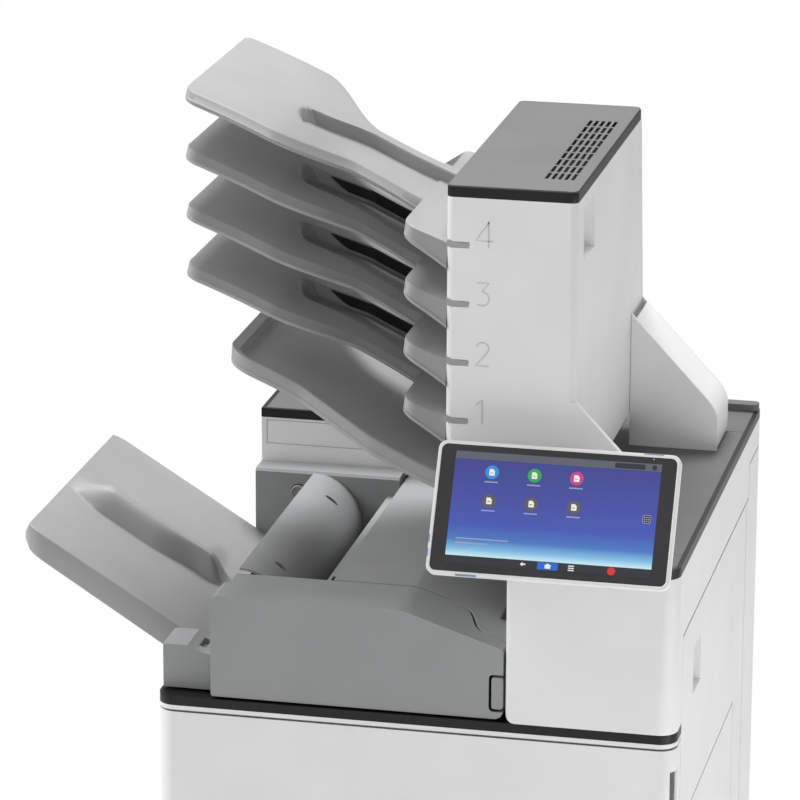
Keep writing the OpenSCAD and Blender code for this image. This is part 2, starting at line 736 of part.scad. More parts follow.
module right_door() color("whitesmoke") at_home() difference() {
    union() {
        block([body_w - cover_t, body_w], door_y, [right_door_z, right_door_top]);
        for (y = [door_y[0], door_y[1] - cover_t])
            block([body_w - duplex_t/2, body_w], [y, y + cover_t],
                [right_door_z + 2*hinge_inset, right_door_top]);
        block([body_w - duplex_t/2, body_w], door_y, [right_door_top - cover_t, right_door_top]);
        block([body_w - cover_t - duplex_t, body_w], duplex_y, duplex_z);
        block([body_w - recess_d - cover_t, body_w],
            [bypass_y[0] - recess_gap - cover_t, bypass_y[1] + recess_gap + cover_t],
            [bypass_z - recess_gap - 2*cover_t, duplex_z[0]]);
        along_y(rd_pivot_x, rd_pivot_z, [door_y[0], door_y[1]], hinge_inset - over);
        along_y(rd_pivot_x, rd_pivot_z, [door_y[0] - 2*hinge_inset, door_y[1] + 2*hinge_inset], rd_pin_r);
    }
    block([body_w - recess_d, body_w + over], [bypass_y[0] - recess_gap, bypass_y[1] + recess_gap],
        [bypass_z - recess_gap, bypass_z + bypass_h + recess_gap]);
    block([body_w - pull_d, body_w + over], pull_y, pull_z);
    for (i = [1:duplex_ribs]) {
        y = duplex_y[0] + i*(duplex_y[1] - duplex_y[0])/(duplex_ribs + 1);
        block([body_w - 2*duplex_t, body_w - duplex_t], [y, y + 4*cover_t],
            [duplex_z[0] + 4*seam, duplex_z[1] - 4*seam]);
    }
    for (y = [bypass_y[0] - recess_gap - cover_t - over, bypass_y[1] + recess_gap - over])
        along_y(bp_pivot_x, bp_pivot_z, [y, y + cover_t + 2*over], rd_pin_r + run);
}

rib_pitch = 22;
module bypass_tray() color("whitesmoke") at_home() difference() {
    union() {
        block([body_w - bypass_t, body_w], bypass_y, [bypass_z, bypass_z + bypass_h]);
        along_y(bp_pivot_x, bp_pivot_z, [bypass_y[0] - recess_gap - cover_t,
            bypass_y[1] + recess_gap + cover_t], rd_pin_r);
    }
    for (y = [bypass_y[0] + rib_pitch : rib_pitch : bypass_y[1] - rib_pitch])
        block([body_w - bypass_t - over, body_w - bypass_t + over], [y, y + 2*cover_t],
            [bypass_z + rib_pitch, bypass_z + bypass_h - rib_pitch/2]);
    block([body_w - bypass_t/2, body_w + over], [bypass_y[0] - over, bypass_y[0] + rib_pitch],
        [bypass_z + bypass_h - 2*rib_pitch, bypass_z + bypass_h - rib_pitch/2]);
}

fence_h = 9;
fence_rise = 50;
fence_len = 62;
fence_share = 0.18;
fence_z = [bypass_z + fence_rise, bypass_z + fence_rise + fence_len];
module fence(y, side) color("#3f4245") at_home() {
    x1 = body_w - bypass_t - clear;
    block([x1 - fence_h, x1], side > 0 ? [y, y + cover_t] : [y - cover_t, y], fence_z);
    block([x1 - cover_t/2, x1], side > 0 ? [y - 9*cover_t, y + over] : [y - over, y + 9*cover_t],
        [fence_z[0] + fence_h, fence_z[1] - fence_h]);
}
module bypass_fence_front() fence(bypass_y[0] + bypass_w*fence_share, 1);
module bypass_fence_rear() fence(bypass_y[1] - bypass_w*fence_share, -1);

// Mailbox tower

tower_x1 = body_w - tower_inset;
tower_x0 = tower_x1 - tower_w;
tower_y1 = tower_y + tower_d;
tower_back = tower_y1 + tower_back_d;
tower_gap = 15;
side_gap_low = 38;
tower_low = body_h + tower_gap;
side_low = body_h + side_gap_low;
tower_top = body_h + tower_h;
cap_t = 13;
cap_skin = 2;
front_depth = 20;
cover_joint = 0.6;
wedge_w = 104;
wedge_h = 159.7;
wedge_knee_h = 62;
wedge_knee_w = 92;
wedge_side_h = 38;
wedge_d = 85;
apron_h = 119;
rear_flare_z = body_h + wedge_h;
rear_flare_y = tower_y1 + wedge_d;
pedestal_gap = 19;
slot_h = 12;
line_w = 26;
line_h = 7;
function bin_lip(i) = body_h + bin_z + i*bin_pitch;

// The slope of the wedge and of the front cover, in x and z, drawn in by inset
function wedge_points(inset) = [[tower_x1, body_h], [tower_x1 + wedge_w - inset, body_h],
    [tower_x1 + wedge_w - inset, body_h + wedge_side_h - inset/2],
    for (i = [1:4]) [tower_x1 + wedge_w - inset - (wedge_w - wedge_knee_w)*pow(i/5, 1.7),
        body_h + wedge_side_h - inset/2 + (wedge_knee_h - wedge_side_h)*i/5],
    [tower_x1 + wedge_knee_w - inset, body_h + wedge_knee_h - inset/2],
    [tower_x1, body_h + wedge_h - inset*1.3]];

// The front cover's lower part: the wedge, the strip over the top plates and the tower's edge
function apron_points(inset, cut) = let (w = wedge_points(inset)) concat(
    [[cabinet_x + inset, body_h - cut], [w[1][0], body_h - cut]],
    [for (i = [2:len(w) - 1]) w[i]],
    [[tower_x1 - tower_r + inset, body_h + wedge_h - 2*inset],
        [tower_x1 - tower_r + inset, body_h + apron_h - inset],
        [cabinet_x + inset, body_h + apron_h - inset]]);

module tower_tube(z) plan(z) difference() {
    round_rect([tower_x0, tower_x1], [tower_y, tower_back], tower_r);
    round_rect([tower_x0 + cover_t, tower_x1 - cover_t], [tower_y + cover_t, tower_back - cover_t],
        tower_r - cover_t);
}

module tower_floor() color("#3a3d40") at_home() {
    block([tower_x0 + cover_t + cover_joint, tower_x1 - cover_t],
        [tower_y + tower_r + clear, tower_y1 + cover_t],
        [side_low - 2*cover_t, side_low - cover_t]);
    difference() {
        block([cabinet_x + band_w, tower_x1 - pedestal_gap], [tower_y + front_depth, tower_y1 - cover_t],
            [body_h, side_low - 2*cover_t + over]);
        block([cabinet_x + band_w + cover_t, tower_x1 - pedestal_gap - cover_t],
            [tower_y + front_depth + cover_t, tower_y1 - 2*cover_t], [body_h - over, side_low - 3*cover_t]);
    }
}

module tower_front() color("whitesmoke") at_home() difference() {
    union() {
        intersection() {
            tower_tube([tower_low, tower_top - cap_t]);
            block([tower_x0 - over, tower_x1 + over], [tower_y - over, tower_y + front_depth],
                [tower_low, tower_top]);
        }
        front_view([tower_y, tower_y + tower_r]) polygon(apron_points(0, 0));
    }
    front_view([tower_y + cover_t, tower_y + tower_r + over]) polygon(apron_points(cover_t, over));
    for (i = [0:bin_count - 1])
        block([tower_x0 - over, tower_x0 + line_w], [tower_y - over, tower_y + cover_t/2],
            [bin_lip(i) - line_h/2, bin_lip(i) + line_h/2]);
}

recess_front = 40;
recess_w = 68;
recess_drop = 28;
recess_h = 60;
recess_y = [tower_y + recess_front, tower_y + recess_front + recess_w];
recess_z = [tower_top - recess_drop - recess_h, tower_top - recess_drop];
module tower_side() color("whitesmoke") at_home() difference() {
    union() {
        intersection() {
            tower_tube([side_low, tower_top - cap_t]);
            block([tower_x1 - front_depth, tower_x1 + over],
                [tower_y + front_depth + cover_joint, tower_y1 - cover_joint], [side_low, tower_top]);
        }
        block([tower_x1 - 6*cover_t, tower_x1 - over], [recess_y[0] - cover_t, recess_y[1] + cover_t],
            [recess_z[0] - cover_t, recess_z[1] + cover_t]);
    }
    block([tower_x1 - 5*cover_t, tower_x1 + over], recess_y, recess_z);
}

// Side outline of the flared rear cover, drawn in by inset and carried past its open faces by cut
function flare_points(inset, cut) = [[tower_y1 - cut, tower_top - cap_t + cut],
    [tower_back - inset, tower_top - cap_t + cut], [rear_flare_y - inset, rear_flare_z],
    [rear_flare_y - inset, side_low + inset], [tower_y1 - cut, side_low + inset]];
module tower_rear() color("whitesmoke") at_home() difference() {
    side_view([tower_x0, tower_x1]) polygon(flare_points(0, 0));
    side_view([tower_x0 + cover_t, tower_x1 - cover_t]) polygon(flare_points(cover_t, over));
}

module tower_wall() color("#c4c6c8") at_home() difference() {
    intersection() {
        tower_tube([tower_low, tower_top - cap_t]);
        block([tower_x0 - over, tower_x0 + front_depth],
            [tower_y + front_depth + cover_joint, tower_y1 - cover_joint], [tower_low, tower_top]);
    }
    for (z = [low_lip, for (i = [0:bin_count - 1]) bin_lip(i)])
        block([tower_x0 - over, tower_x0 + cover_t + over],
            [tower_y + 2*front_depth, tower_y1 - 2*front_depth],
            [z + over, z + over + slot_h]);
}

module cap_outline(inset) round_rect([tower_x0 + inset, tower_x1 - inset],
    [tower_y + inset, tower_back - inset],
    tower_r - inset/2);
module tower_band() color("#262626") at_home() difference() {
    plan([tower_top - cap_t, tower_top - cap_skin]) cap_outline(0);
    plan([tower_top - cap_t - over, tower_top - cap_skin - cover_t]) cap_outline(cover_t);
    block(grille_x, grille_y, [tower_top - cap_t, tower_top]);
}
grille_inset = 14;
grille_w = 33;
grille_front = 52;
grille_back = 30;
grille_x = [tower_x1 - grille_inset - grille_w, tower_x1 - grille_inset];
grille_y = [tower_y + grille_front, tower_y1 - grille_back];
grille_cols = 5;
grille_rows = 9;
grille_slot = 4;
grille_bar = 5;
module tower_cap() color("#8f8f8f") at_home() difference() {
    plan([tower_top - cap_skin, tower_top]) cap_outline(cap_skin/2);
    for (c = [0:grille_cols - 1], r = [0:grille_rows - 1]) {
        x = grille_x[0] + c*(grille_x[1] - grille_x[0] - grille_slot)/(grille_cols - 1);
        pitch = (grille_y[1] - grille_y[0] + grille_bar)/grille_rows;
        y = grille_y[0] + r*pitch;
        block([x, x + grille_slot], [y, y + pitch - grille_bar], [tower_top - cap_t, tower_top + over]);
    }
}

wedge_y = [tower_y1 + cover_joint, tower_y1 + wedge_d];
cover_gap = 0.6;
jam_y = [wedge_y[0] + 2*cover_t, wedge_y[1] - 2*cover_t];
wedge_back_share = 0.9;
jam_pivot_x = tower_x1 + wedge_w - cover_t;
jam_pivot_rise = 7;
jam_pivot_z = body_h + jam_pivot_rise;
module wedge_housing() color("whitesmoke") at_home() difference() {
    union() {
        for (y = [[wedge_y[0], jam_y[0] - cover_gap], [jam_y[1] + cover_gap, wedge_y[1]]])
            front_view(y) translate([cover_gap, 0]) polygon(wedge_points(0));
        block([tower_x1 + cover_gap, tower_x1 + cover_gap + cover_t], wedge_y,
            [body_h, body_h + wedge_h*wedge_back_share]);
    }
    along_y(jam_pivot_x, jam_pivot_z, [jam_y[0] - 4*cover_gap, jam_y[1] + 4*cover_gap], rd_pin_r + run);
}
module jam_cover() color("whitesmoke") at_home() {
    front_view(jam_y) difference() {
        translate([cover_gap, 0]) polygon(wedge_points(0));
        translate([cover_gap, 0]) polygon(wedge_points(cover_t));
        translate([tower_x1 - over, body_h - over]) square([2*cover_t + over, wedge_h + 2*over]);
        translate([tower_x1, body_h - over]) square([2*wedge_w, over + cover_t]);
    }
    along_y(jam_pivot_x, jam_pivot_z, [jam_y[0] - 3*cover_gap, jam_y[1] + 3*cover_gap], rd_pin_r);
}

// Bin trays

tray_steps = 24;
bend_share = 0.15;
root_share = 0.3;
trough_start_share = 0.62;
trough_full_share = 0.44;
shoulder_len = 50;
paddle_len = 95;
neck_start = 182;
tray_r = 16;
low_r = 28;
neck_shift = 12;
rail_d = 28;
rail_t = 1.2;
tray_y = tower_y + tower_d/2;
function smooth(s) = s <= 0 ? 0 : s >= 1 ? 1 : s*s*(3 - 2*s);
function rise_at(u) = u - bend_share*sin(360*u)/(2*PI);
function high_z(u) = trough_step + (bin_rise - trough_step)*rise_at(u);
function low_z(u) = high_z(u)
    - trough_step*smooth((trough_start_share - u)/(trough_start_share - trough_full_share));
function tray_t(u) = tip_t + root_t*pow(max(0, 1 - u/root_share), 2);

// Outline of the tray in plan, from the tower out to the tip, on one side (side is 1 or -1)
function side_y_at(d, side) =
    d < bin_len - neck_start ? tray_y - neck_shift + side*neck_d/2
    : d < bin_len - paddle_len ? let (s = smooth((d - bin_len + neck_start)/(neck_start - paddle_len)))
        (1 - s)*(tray_y - neck_shift + side*neck_d/2) + s*(tray_y + side*paddle_d/2)
    : tray_y + side*paddle_d/2;
function tray_side(side) = let (far = bin_len - tray_r, c = tray_r, ys = side < 0 ? tower_y : tower_y1)
    concat([[tower_x0, ys]],
        [for (a = [0:15:90]) [tower_x0 - shoulder_len + c - c*sin(a), ys - side*(c - c*cos(a))]],
        [for (i = [0:tray_steps]) let (d = shoulder_len + i*(far - shoulder_len)/tray_steps)
            [tower_x0 - d, side_y_at(d, side)]],
        [for (a = [15:15:90]) [tower_x0 - far - tray_r*sin(a),
            tray_y + side*(paddle_d/2 - tray_r + tray_r*cos(a))]]);
module tray_outline() {
    front = tray_side(-1);
    back = tray_side(1);
    polygon([for (p = front) p, for (i = [len(back) - 1 : -1 : 0]) back[i]]);
}

shares = [for (i = [0:tray_steps]) i/tray_steps];
module bin_tray(i) color(i == bin_count - 1 ? "#d9dadb" : "#b4b6b8") at_home() translate([0, 0, bin_lip(i)])
    intersection() {
        plan([-root_t - 2*tip_t, bin_rise + tip_t]) tray_outline();
        union() {
            front_view([tower_y - over, tower_y1 + over]) polygon([
                for (u = shares) [tower_x0 - u*bin_len, low_z(u)],
                for (k = [tray_steps : -1 : 0]) [tower_x0 - shares[k]*bin_len,
                    low_z(shares[k]) - tray_t(shares[k])]]);
            front_view([tray_y - neck_shift + neck_d/2 - rail_d, tray_y - neck_shift + neck_d/2]) polygon([
                for (u = shares) [tower_x0 - u*bin_len, high_z(u)],
                for (k = [tray_steps : -1 : 0]) [tower_x0 - shares[k]*bin_len, low_z(shares[k]) - tip_t]]);
        }
    }
module bin_tray_1() bin_tray(0);
module bin_tray_2() bin_tray(1);
module bin_tray_3() bin_tray(2);
module bin_tray_4() bin_tray(3);

rail_first = 4;
rail_last = 13;
module bin_rails() color("#232323") at_home() for (i = [0:bin_count - 2])
    translate([0, 0, bin_lip(i)])
        front_view([tray_y - neck_shift + neck_d/2 - rail_d - rail_t,
            tray_y - neck_shift + neck_d/2 - rail_d])
            polygon([for (k = [rail_first:rail_last]) [tower_x0 - shares[k]*bin_len, high_z(shares[k])],
                for (k = [rail_last : -1 : rail_first]) [tower_x0 - shares[k]*bin_len, low_z(shares[k])]]);

low_lip = body_h + bin_z - bin_pitch;
low_rim = 12;
low_dish = 6;
low_step = 4;
function low_tray_z(u) = low_lip + low_rise*rise_at(u);
module low_outline(inset) {
    x0 = tower_x0 - low_len + inset;
    polygon([[tower_x0 - inset/2, tower_y + inset], [tower_x0 - low_len/3, tower_y + inset + low_step],
        [x0 + 3*low_r, tray_y - paddle_d/2 + inset], [x0 + low_r, tray_y - paddle_d/2 + inset],
        for (a = [15:15:75]) [x0 + low_r*(1 - sin(a)), tray_y - paddle_d/2 + inset + low_r*(1 - cos(a))],
        [x0, tray_y - paddle_d/2 + inset + low_r], [x0, tray_y + paddle_d/2 - inset - low_r],
        for (a = [75:-15:15]) [x0 + low_r*(1 - sin(a)), tray_y + paddle_d/2 - inset - low_r*(1 - cos(a))],
        [x0 + low_r, tray_y + paddle_d/2 - inset], [x0 + 3*low_r, tray_y + paddle_d/2 - inset],
        [tower_x0 - low_len/3, tower_y1 - inset - low_step], [tower_x0 - inset/2, tower_y1 - inset]]);
}
module low_tray() color("#a4a6a8") at_home() difference() {
    intersection() {
        plan([body_h, tower_top]) low_outline(0);
        front_view([tower_y - over, tower_y1 + over]) polygon([
            for (u = shares) [tower_x0 - u*low_len, low_tray_z(u)],
            for (k = [tray_steps : -1 : 0]) [tower_x0 - shares[k]*low_len,
                low_tray_z(shares[k]) - tip_t - low_dish]]);
    }
    intersection() {
        plan([body_h, tower_top + over]) low_outline(low_rim);
        front_view([tower_y - over, tower_y1 + over]) polygon([
            for (u = shares) [tower_x0 - u*low_len, low_tray_z(u) + over],
            for (k = [tray_steps : -1 : 0]) [tower_x0 - shares[k]*low_len,
                low_tray_z(shares[k]) - low_dish]]);
    }
}

// Internal finisher

fin_z = deck_z + rail_h + clear;
fin_top = deck_z + fin_h;
fin_gap = 2.5;
fin_x1 = cabinet_x - fin_gap;
fin_r = 8;
fin_y0 = 3;
knee_dx = 106.5;
knee_drop = 2.5;
slope_dx = 2;
slope_drop = 36.5;
fin_end_h = 81.5;
fin_end_z = deck_z + fin_end_h;
fin_knee_dx = 116.5;
// Front outline of the finisher from its left end on, drawn in by inset
function fin_points(inset, left = fin_x) = let (x0 = left + inset, x1 = fin_x1 - inset,
    top = fin_top - inset, r = fin_r - inset) [
    [x0, fin_z], [x0, top - r],
    for (a = [15:15:75]) [x0 + r*(1 - cos(a)), top - r*(1 - sin(a))],
    [x0 + r, top], [fin_x1 - fin_knee_dx, top], [fin_x1 - knee_dx - inset/2, top - knee_drop],
    [fin_x1 - slope_dx - inset, fin_top - slope_drop - inset],
    [x1, fin_end_z - inset], [x1, fin_z + fin_r], [x1 - fin_r/3, fin_z + fin_r/3], [x1 - fin_r, fin_z]];
step_x = 10.5;
step_y = 52;
latch_w = 15.7;
latch_low = 11.5;
latch_h = 42;
latch_z = [deck_z + latch_low, deck_z + latch_low + latch_h];
latch_d = 17;
fin_front_y = fin_y0 + fin_front_d;
latch_gap = 1;
latch_x0 = fin_x1 - latch_w;
latch_pin_r = 1.5;
latch_pin_x = 3;
latch_pin_y = 4;
latch_pivot_x = latch_x0 + latch_pin_x;
latch_pivot_y = fin_y0 + latch_pin_y;
module finisher_front() color("#8b8b8b") at_home() difference() {
    union() {
        difference() {
            union() {
                front_view([fin_y0, step_y]) polygon(fin_points(0));
                front_view([fin_y0, fin_front_y]) polygon(fin_points(0, fin_x + step_x));
            }
            front_view([fin_y0 + cover_t, step_y - cover_t]) difference() {
                polygon(fin_points(cover_t));
                square([body_w, fin_z + cover_t]);
            }
            front_view([fin_y0 + cover_t, fin_front_y + over]) difference() {
                polygon(fin_points(cover_t, fin_x + step_x));
                square([body_w, fin_z + cover_t]);
            }
        }
        block([latch_x0 - cover_t, fin_x1], [fin_y0, fin_y0 + latch_d + cover_t],
            [latch_z[0] - cover_t, latch_z[1] + cover_t]);
    }
    block([latch_x0, fin_x1 + over], [fin_y0 - over, fin_y0 + latch_d], latch_z);
    translate([latch_pivot_x, latch_pivot_y, latch_z[0] - cover_t])
        cylinder(r = latch_pin_r + run, h = latch_z[1] - latch_z[0] + 2*cover_t);
}
module finisher_latch() color("#7d7d7d") at_home() {
    plan([latch_z[0] + latch_gap, latch_z[1] - latch_gap])
        round_rect([latch_x0 + latch_gap, fin_x1], [fin_y0, fin_y0 + latch_d - latch_gap], 2*over);
    translate([latch_pivot_x, latch_pivot_y, latch_z[0] - 2*over])
        cylinder(r = latch_pin_r, h = latch_z[1] - latch_z[0] + 4*over);
}

body_x0 = fin_x + step_x + clear;
fin_end_gap = 22;
body_x1 = cabinet_x - fin_end_gap;
tub_wall = 3;
tub_front = [fin_front_y + clear, fin_front_y + clear + tub_wall];
chute_rise = 65.5;
chute_zc = deck_z + chute_rise;
back_bevel = 3;
back_rise = 6.5;
back_y1 = fin_back_y + fin_back_t;
back_lid_gap = 4;
back_x1 = lid_x - back_lid_gap;
knuckle_r = 4.5;
exit_h = 60;
exit_top = deck_z + exit_h;
end_wall_h = 76;
rib_low = 84;
rib_h = 20;
fin_shaft_x = 156;
fin_shaft_h = 48;
fin_shaft_z = deck_z + fin_shaft_h;
fin_shaft_r = 4;
block_front = 22;
block_back = 76;
block_h = 53.5;
block_dip_h = 44.5;
block_y = [block_front, block_back];
block_top = deck_z + block_h;
block_dip = deck_z + block_dip_h;
knob_r = 11;
module finisher_body() color("#6f7072") at_home() {
    difference() {
        union() {
            block([rail_w + seam, body_x1], [tub_front[0], fin_back_y + over], [fin_z, fin_z + tub_wall]);
            block([rail_w + seam, fin_x + step_x - clear], [block_y[1] - over, tub_front[1]],
                [fin_z, fin_z + tub_wall]);
            front_view(tub_front) intersection() {
                polygon(fin_points(tub_wall));
                translate([body_x0, 0]) square([body_x1 - body_x0, fin_top]);
            }
            block([body_x0, body_x0 + tub_wall], [tub_front[0], fin_back_y + over], [fin_z, exit_top]);
            block([body_x1 - tub_wall, body_x1], [tub_front[0], fin_back_y + over],
                [fin_z, deck_z + end_wall_h]);
            side_view([cover_t, back_x1]) polygon([[fin_back_y, fin_z], [back_y1, fin_z],
                [back_y1, fin_top + back_rise], [fin_back_y + back_bevel, fin_top + back_rise],
                [fin_back_y, fin_top + back_rise - back_bevel]]);
            front_view([fin_back_y, back_y1]) difference() {
                polygon(fin_points(tub_wall + clear));
                square([back_x1 - over, 2*body_h]);
                translate([body_x1, 0]) square([body_w, 2*body_h]);
                translate([back_x1, lid_pivot_z]) square([lid_pivot_x - back_x1, body_h]);
            }
            along_y(lid_pivot_x, lid_pivot_z, [fin_back_y, back_y1], knuckle_r);
            block([lid_x - 6*cover_t, lid_x - 3*cover_t], [tub_front[0], fin_back_y + over],
                [deck_z + rib_low, deck_z + rib_low + rib_h]);
        }
        along_y(fin_shaft_x, fin_shaft_z, [tub_front[0] - over, fin_back_y + 2*cover_t], fin_shaft_r + run);
        for (y = [tub_front[0], fin_back_y])
            along_y(lid_pivot_x, lid_pivot_z, [y - over, y + 2*tub_wall], lid_pin_r + run);
    }
    side_block();
}
// The low block at the left end, beside the stack tray, with a dished top
dip_r = 60;
latch_slot_x = 22;
latch_slot_w = 8;
latch_slot_front = 16;
latch_slot_back = 12;
module side_block() {
    difference() {
        block([cover_t, fin_x - clear], block_y, [fin_z, block_top]);
        along_y(fin_x, block_dip + dip_r, [block_y[0] - over, block_y[1] + over], dip_r);
        block([fin_x - latch_slot_x, fin_x - latch_slot_x + latch_slot_w],
            [block_y[0] + latch_slot_front, block_y[1] - latch_slot_back],
                [block_dip - cover_t, block_top]);
    }
}

// Curved chute over the stack tray
chute_y = [tub_front[1] + clear, fin_back_y - clear];
chute_t = 3;
chute_skirt = 14;
oval_w = 7;
oval_l = 24;
oval_share = 0.72;
module exit_chute() color("#85878a") at_home() difference() {
    union() {
        front_view(chute_y) intersection() {
            translate([chute_x, chute_zc]) difference() {
                circle(chute_r, $fn = 96);
                circle(chute_r - chute_t, $fn = 96);
            }
            translate([chute_x, chute_zc]) square(2*chute_r);
        }
        block([chute_x + chute_r - chute_t, chute_x + chute_r], chute_y,
            [chute_zc - chute_skirt, chute_zc + over]);
        block([body_x0 + tub_wall, chute_x + chute_r], [chute_y[0], chute_y[0] + cover_t],
            [chute_zc - chute_skirt, chute_zc + over]);
        block([body_x0 + tub_wall, chute_x + chute_r], [chute_y[1] - cover_t, chute_y[1]],
            [chute_zc - chute_skirt, chute_zc + over]);
    }
    for (y = [chute_y[0] + oval_l, chute_y[1] - 4*oval_l])
        block([chute_x + chute_r*oval_share - oval_l/2, chute_x + chute_r*oval_share + oval_l/2],
            [y, y + oval_w],
            [chute_zc + oval_l, chute_zc + chute_r + over]);
}

lid_y = [tub_front[1] + clear, rear_y - 2*clear];
lid_pin_dx = 7;
lid_pin_drop = 8;
lid_pivot_x = lid_x + lid_pin_dx;
lid_pivot_z = fin_top - lid_pin_drop;
lid_barrel_r = 5.5;
lid_low = 78;
lid_pin_r = 2.5;
lid_x1 = body_x1 - over;
module finisher_lid() color("#8b8b8b") at_home() {
    front_view(lid_y) difference() {
        polygon(fin_points(0));
        polygon(fin_points(tub_wall));
        square([lid_x, 2*body_h]);
        translate([lid_x1, 0]) square([body_w, 2*body_h]);
        square([body_w, deck_z + lid_low]);
    }
    for (y = [lid_y[0], fin_back_y - clear - 4*cover_t])
        along_y(lid_pivot_x, lid_pivot_z, [y, y + 4*cover_t], lid_barrel_r);
    along_y(lid_pivot_x, lid_pivot_z, [lid_y[0] - tub_wall, lid_y[0] + over], lid_pin_r);
    along_y(lid_pivot_x, lid_pivot_z, [fin_back_y - clear - over, fin_back_y + tub_wall], lid_pin_r);
}

fin_tyre_r = 10;
fin_tyre_w = 18;
fin_tyre_gap = 30;
fin_tyre_end = 46.7;
fin_tyre_pitch = (fin_back_y - fin_tyre_end - fin_tyre_w - fin_tyre_gap - tub_front[1])/3;
module finisher_roller() color("#3a3a3a") at_home() {
    along_y(fin_shaft_x, fin_shaft_z, [tub_front[0], fin_back_y + cover_t], fin_shaft_r);
    for (i = [0:3]) {
        y = tub_front[1] + fin_tyre_gap + i*fin_tyre_pitch;
        along_y(fin_shaft_x, fin_shaft_z, [y, y + fin_tyre_w], fin_tyre_r);
    }
}

// Stack tray with its long hump
stack_end = 40;
stack_slope = 0.61;
stack_y0 = block_back + over + clear;
stack_y = [stack_y0, fin_back_y - stack_gap];
stack_rise = stack_slope*stack_reach;
stack_root_h = 56.5;
stack_low_z = deck_z + stack_root_h + stack_slope*cover_t;
stack_r = 14;
stack_slant = 9.4;
stack_edge = 17.4;
hump_front = 216;
hump_back = 290;
hump_y = [hump_front, hump_back];
hump_h = 24;
hump_start = 26;
hump_full = 72;
hump_nose = 19;
hump_sink = 4;
hump_side = 16;
hump_crown = 26;
hump_crest_share = 0.62;
lug_front = 62.7;
lug_back = 99.3;
lug_y = [stack_y[0] + lug_front, stack_y[1] - lug_back];
lug_w = 30;
lug_t = 8;
stack_lift = 12;
function stack_z(x) = stack_low_z - stack_slope*x;
module stack_outline() {
    round_rect([stack_tip_x, 0], stack_y, stack_r);
    translate([-stack_r - over, stack_y[0]]) square([stack_end + stack_r + over, stack_y[1] - stack_y[0]]);
}
module stack_tray() color("#a9abad") at_home() {
    foot_z = fin_z + tub_wall + stack_lift + clear;
    top_x = stack_tip_x + stack_slant;
    intersection() {
        plan([deck_z, deck_z + 2*stack_rise]) stack_outline();
        front_view(stack_y) polygon([[top_x, stack_z(top_x)], [stack_end, stack_z(stack_end)],
            [stack_end, foot_z], [cover_t + hump_sink, foot_z], [top_x, stack_z(top_x) - stack_t],
            [stack_tip_x, stack_z(top_x) - stack_edge]]);
    }
    intersection() {
        front_view(hump_y) polygon([[stack_tip_x + hump_start, stack_z(stack_tip_x + hump_start)],
            [stack_tip_x + hump_full, stack_z(stack_tip_x + hump_full) + hump_nose],
            [-cover_t, stack_z(-cover_t) + hump_h], [stack_end/2, stack_z(stack_end/2)],
            [stack_end/2, stack_z(stack_end/2) - hump_sink],
            [stack_tip_x + hump_start, stack_z(stack_tip_x + hump_start) - hump_sink]]);
        side_shear();
    }
    for (y = lug_y)
        block([stack_end - over, body_x0 - clear], [y, y + lug_w], [foot_z, foot_z + lug_t]);
}
// Slanting sides of the hump, which follow the tray's slope
module side_shear() multmatrix([[1, 0, 0, 0], [0, 1, 0, 0], [-stack_slope, 0, 1, stack_low_z]])
    side_view([stack_tip_x, stack_end]) polygon([[hump_y[0], -hump_sink], [hump_y[0], 0],
        [hump_y[0] + hump_side, hump_h], [hump_y[0] + (hump_y[1] - hump_y[0])*hump_crest_share, hump_crown],
        [hump_y[1], 0], [hump_y[1], -hump_sink]]);

// Touch panel

pivot_back = 32;
arm_pivot_y = panel_face_y + pivot_back*cos(panel_lean);
arm_pivot_z = panel_face_z - pivot_back*sin(panel_lean);
arm_w = 70;
arm_x = [panel_x - arm_w/2, panel_x + arm_w/2];
arm_t = 8;
arm_plate = 6;
arm_pin_r = 4;
arm_foot_d = 36;
arm_foot_y = [arm_pivot_y, arm_pivot_y + arm_foot_d];
module panel_arm() color("#55585b") at_home() difference() {
    union() {
        block(arm_x, [arm_pivot_y - arm_plate, arm_foot_y[1]], [body_h, body_h + arm_plate]);
        for (x = [arm_x[0], arm_x[1] - arm_t]) {
            side_view([x, x + arm_t]) polygon([[arm_foot_y[0] - arm_t, body_h], [arm_foot_y[1], body_h],
                [arm_pivot_y + arm_t, arm_pivot_z], [arm_pivot_y - arm_t, arm_pivot_z]]);
            along_x(arm_pivot_y, arm_pivot_z, [x, x + arm_t], arm_t + over);
        }
    }
    along_x(arm_pivot_y, arm_pivot_z, [arm_x[0] - over, arm_x[1] + over], arm_pin_r + run);
}

// Places a piece drawn flat, face up at z = 0 and centred on the origin, on the leaning panel
module on_panel() translate([panel_x, panel_face_y, panel_face_z]) rotate([90 - panel_lean, 0,
    0]) children();
module panel_shape(inset) round_rect([-panel_w/2 + inset, panel_w/2 - inset],
    [-panel_h/2 + inset, panel_h/2 - inset],
    panel_r - inset/2);
screen_t = 3;
panel_rim = 4;
back_step = 12;
module panel_housing() color("whitesmoke") at_home() {
    on_panel() difference() {
        union() {
            translate([0, 0, -panel_t/2]) linear_extrude(panel_t/2) panel_shape(0);
            translate([0, 0, -panel_t]) linear_extrude(panel_t/2 + over/2) panel_shape(back_step);
            translate([0, 0, -pivot_back]) linear_extrude(pivot_back - panel_t + over)
                square([arm_x[1] - arm_x[0] - 2*arm_t - 2*clear, 2*arm_t], center = true);
        }
        translate([0, 0, -screen_t]) linear_extrude(screen_t + over) panel_shape(panel_rim - clear);
    }
    along_x(arm_pivot_y, arm_pivot_z, [arm_x[0], arm_x[1]], arm_pin_r);
    along_x(arm_pivot_y, arm_pivot_z, [arm_x[0] + arm_t + clear, arm_x[1] - arm_t - clear], arm_t);
}
module panel_screen() color("#303236") at_home() on_panel()
    translate([0, 0, -screen_t]) linear_extrude(screen_t - clear/2) panel_shape(panel_rim);

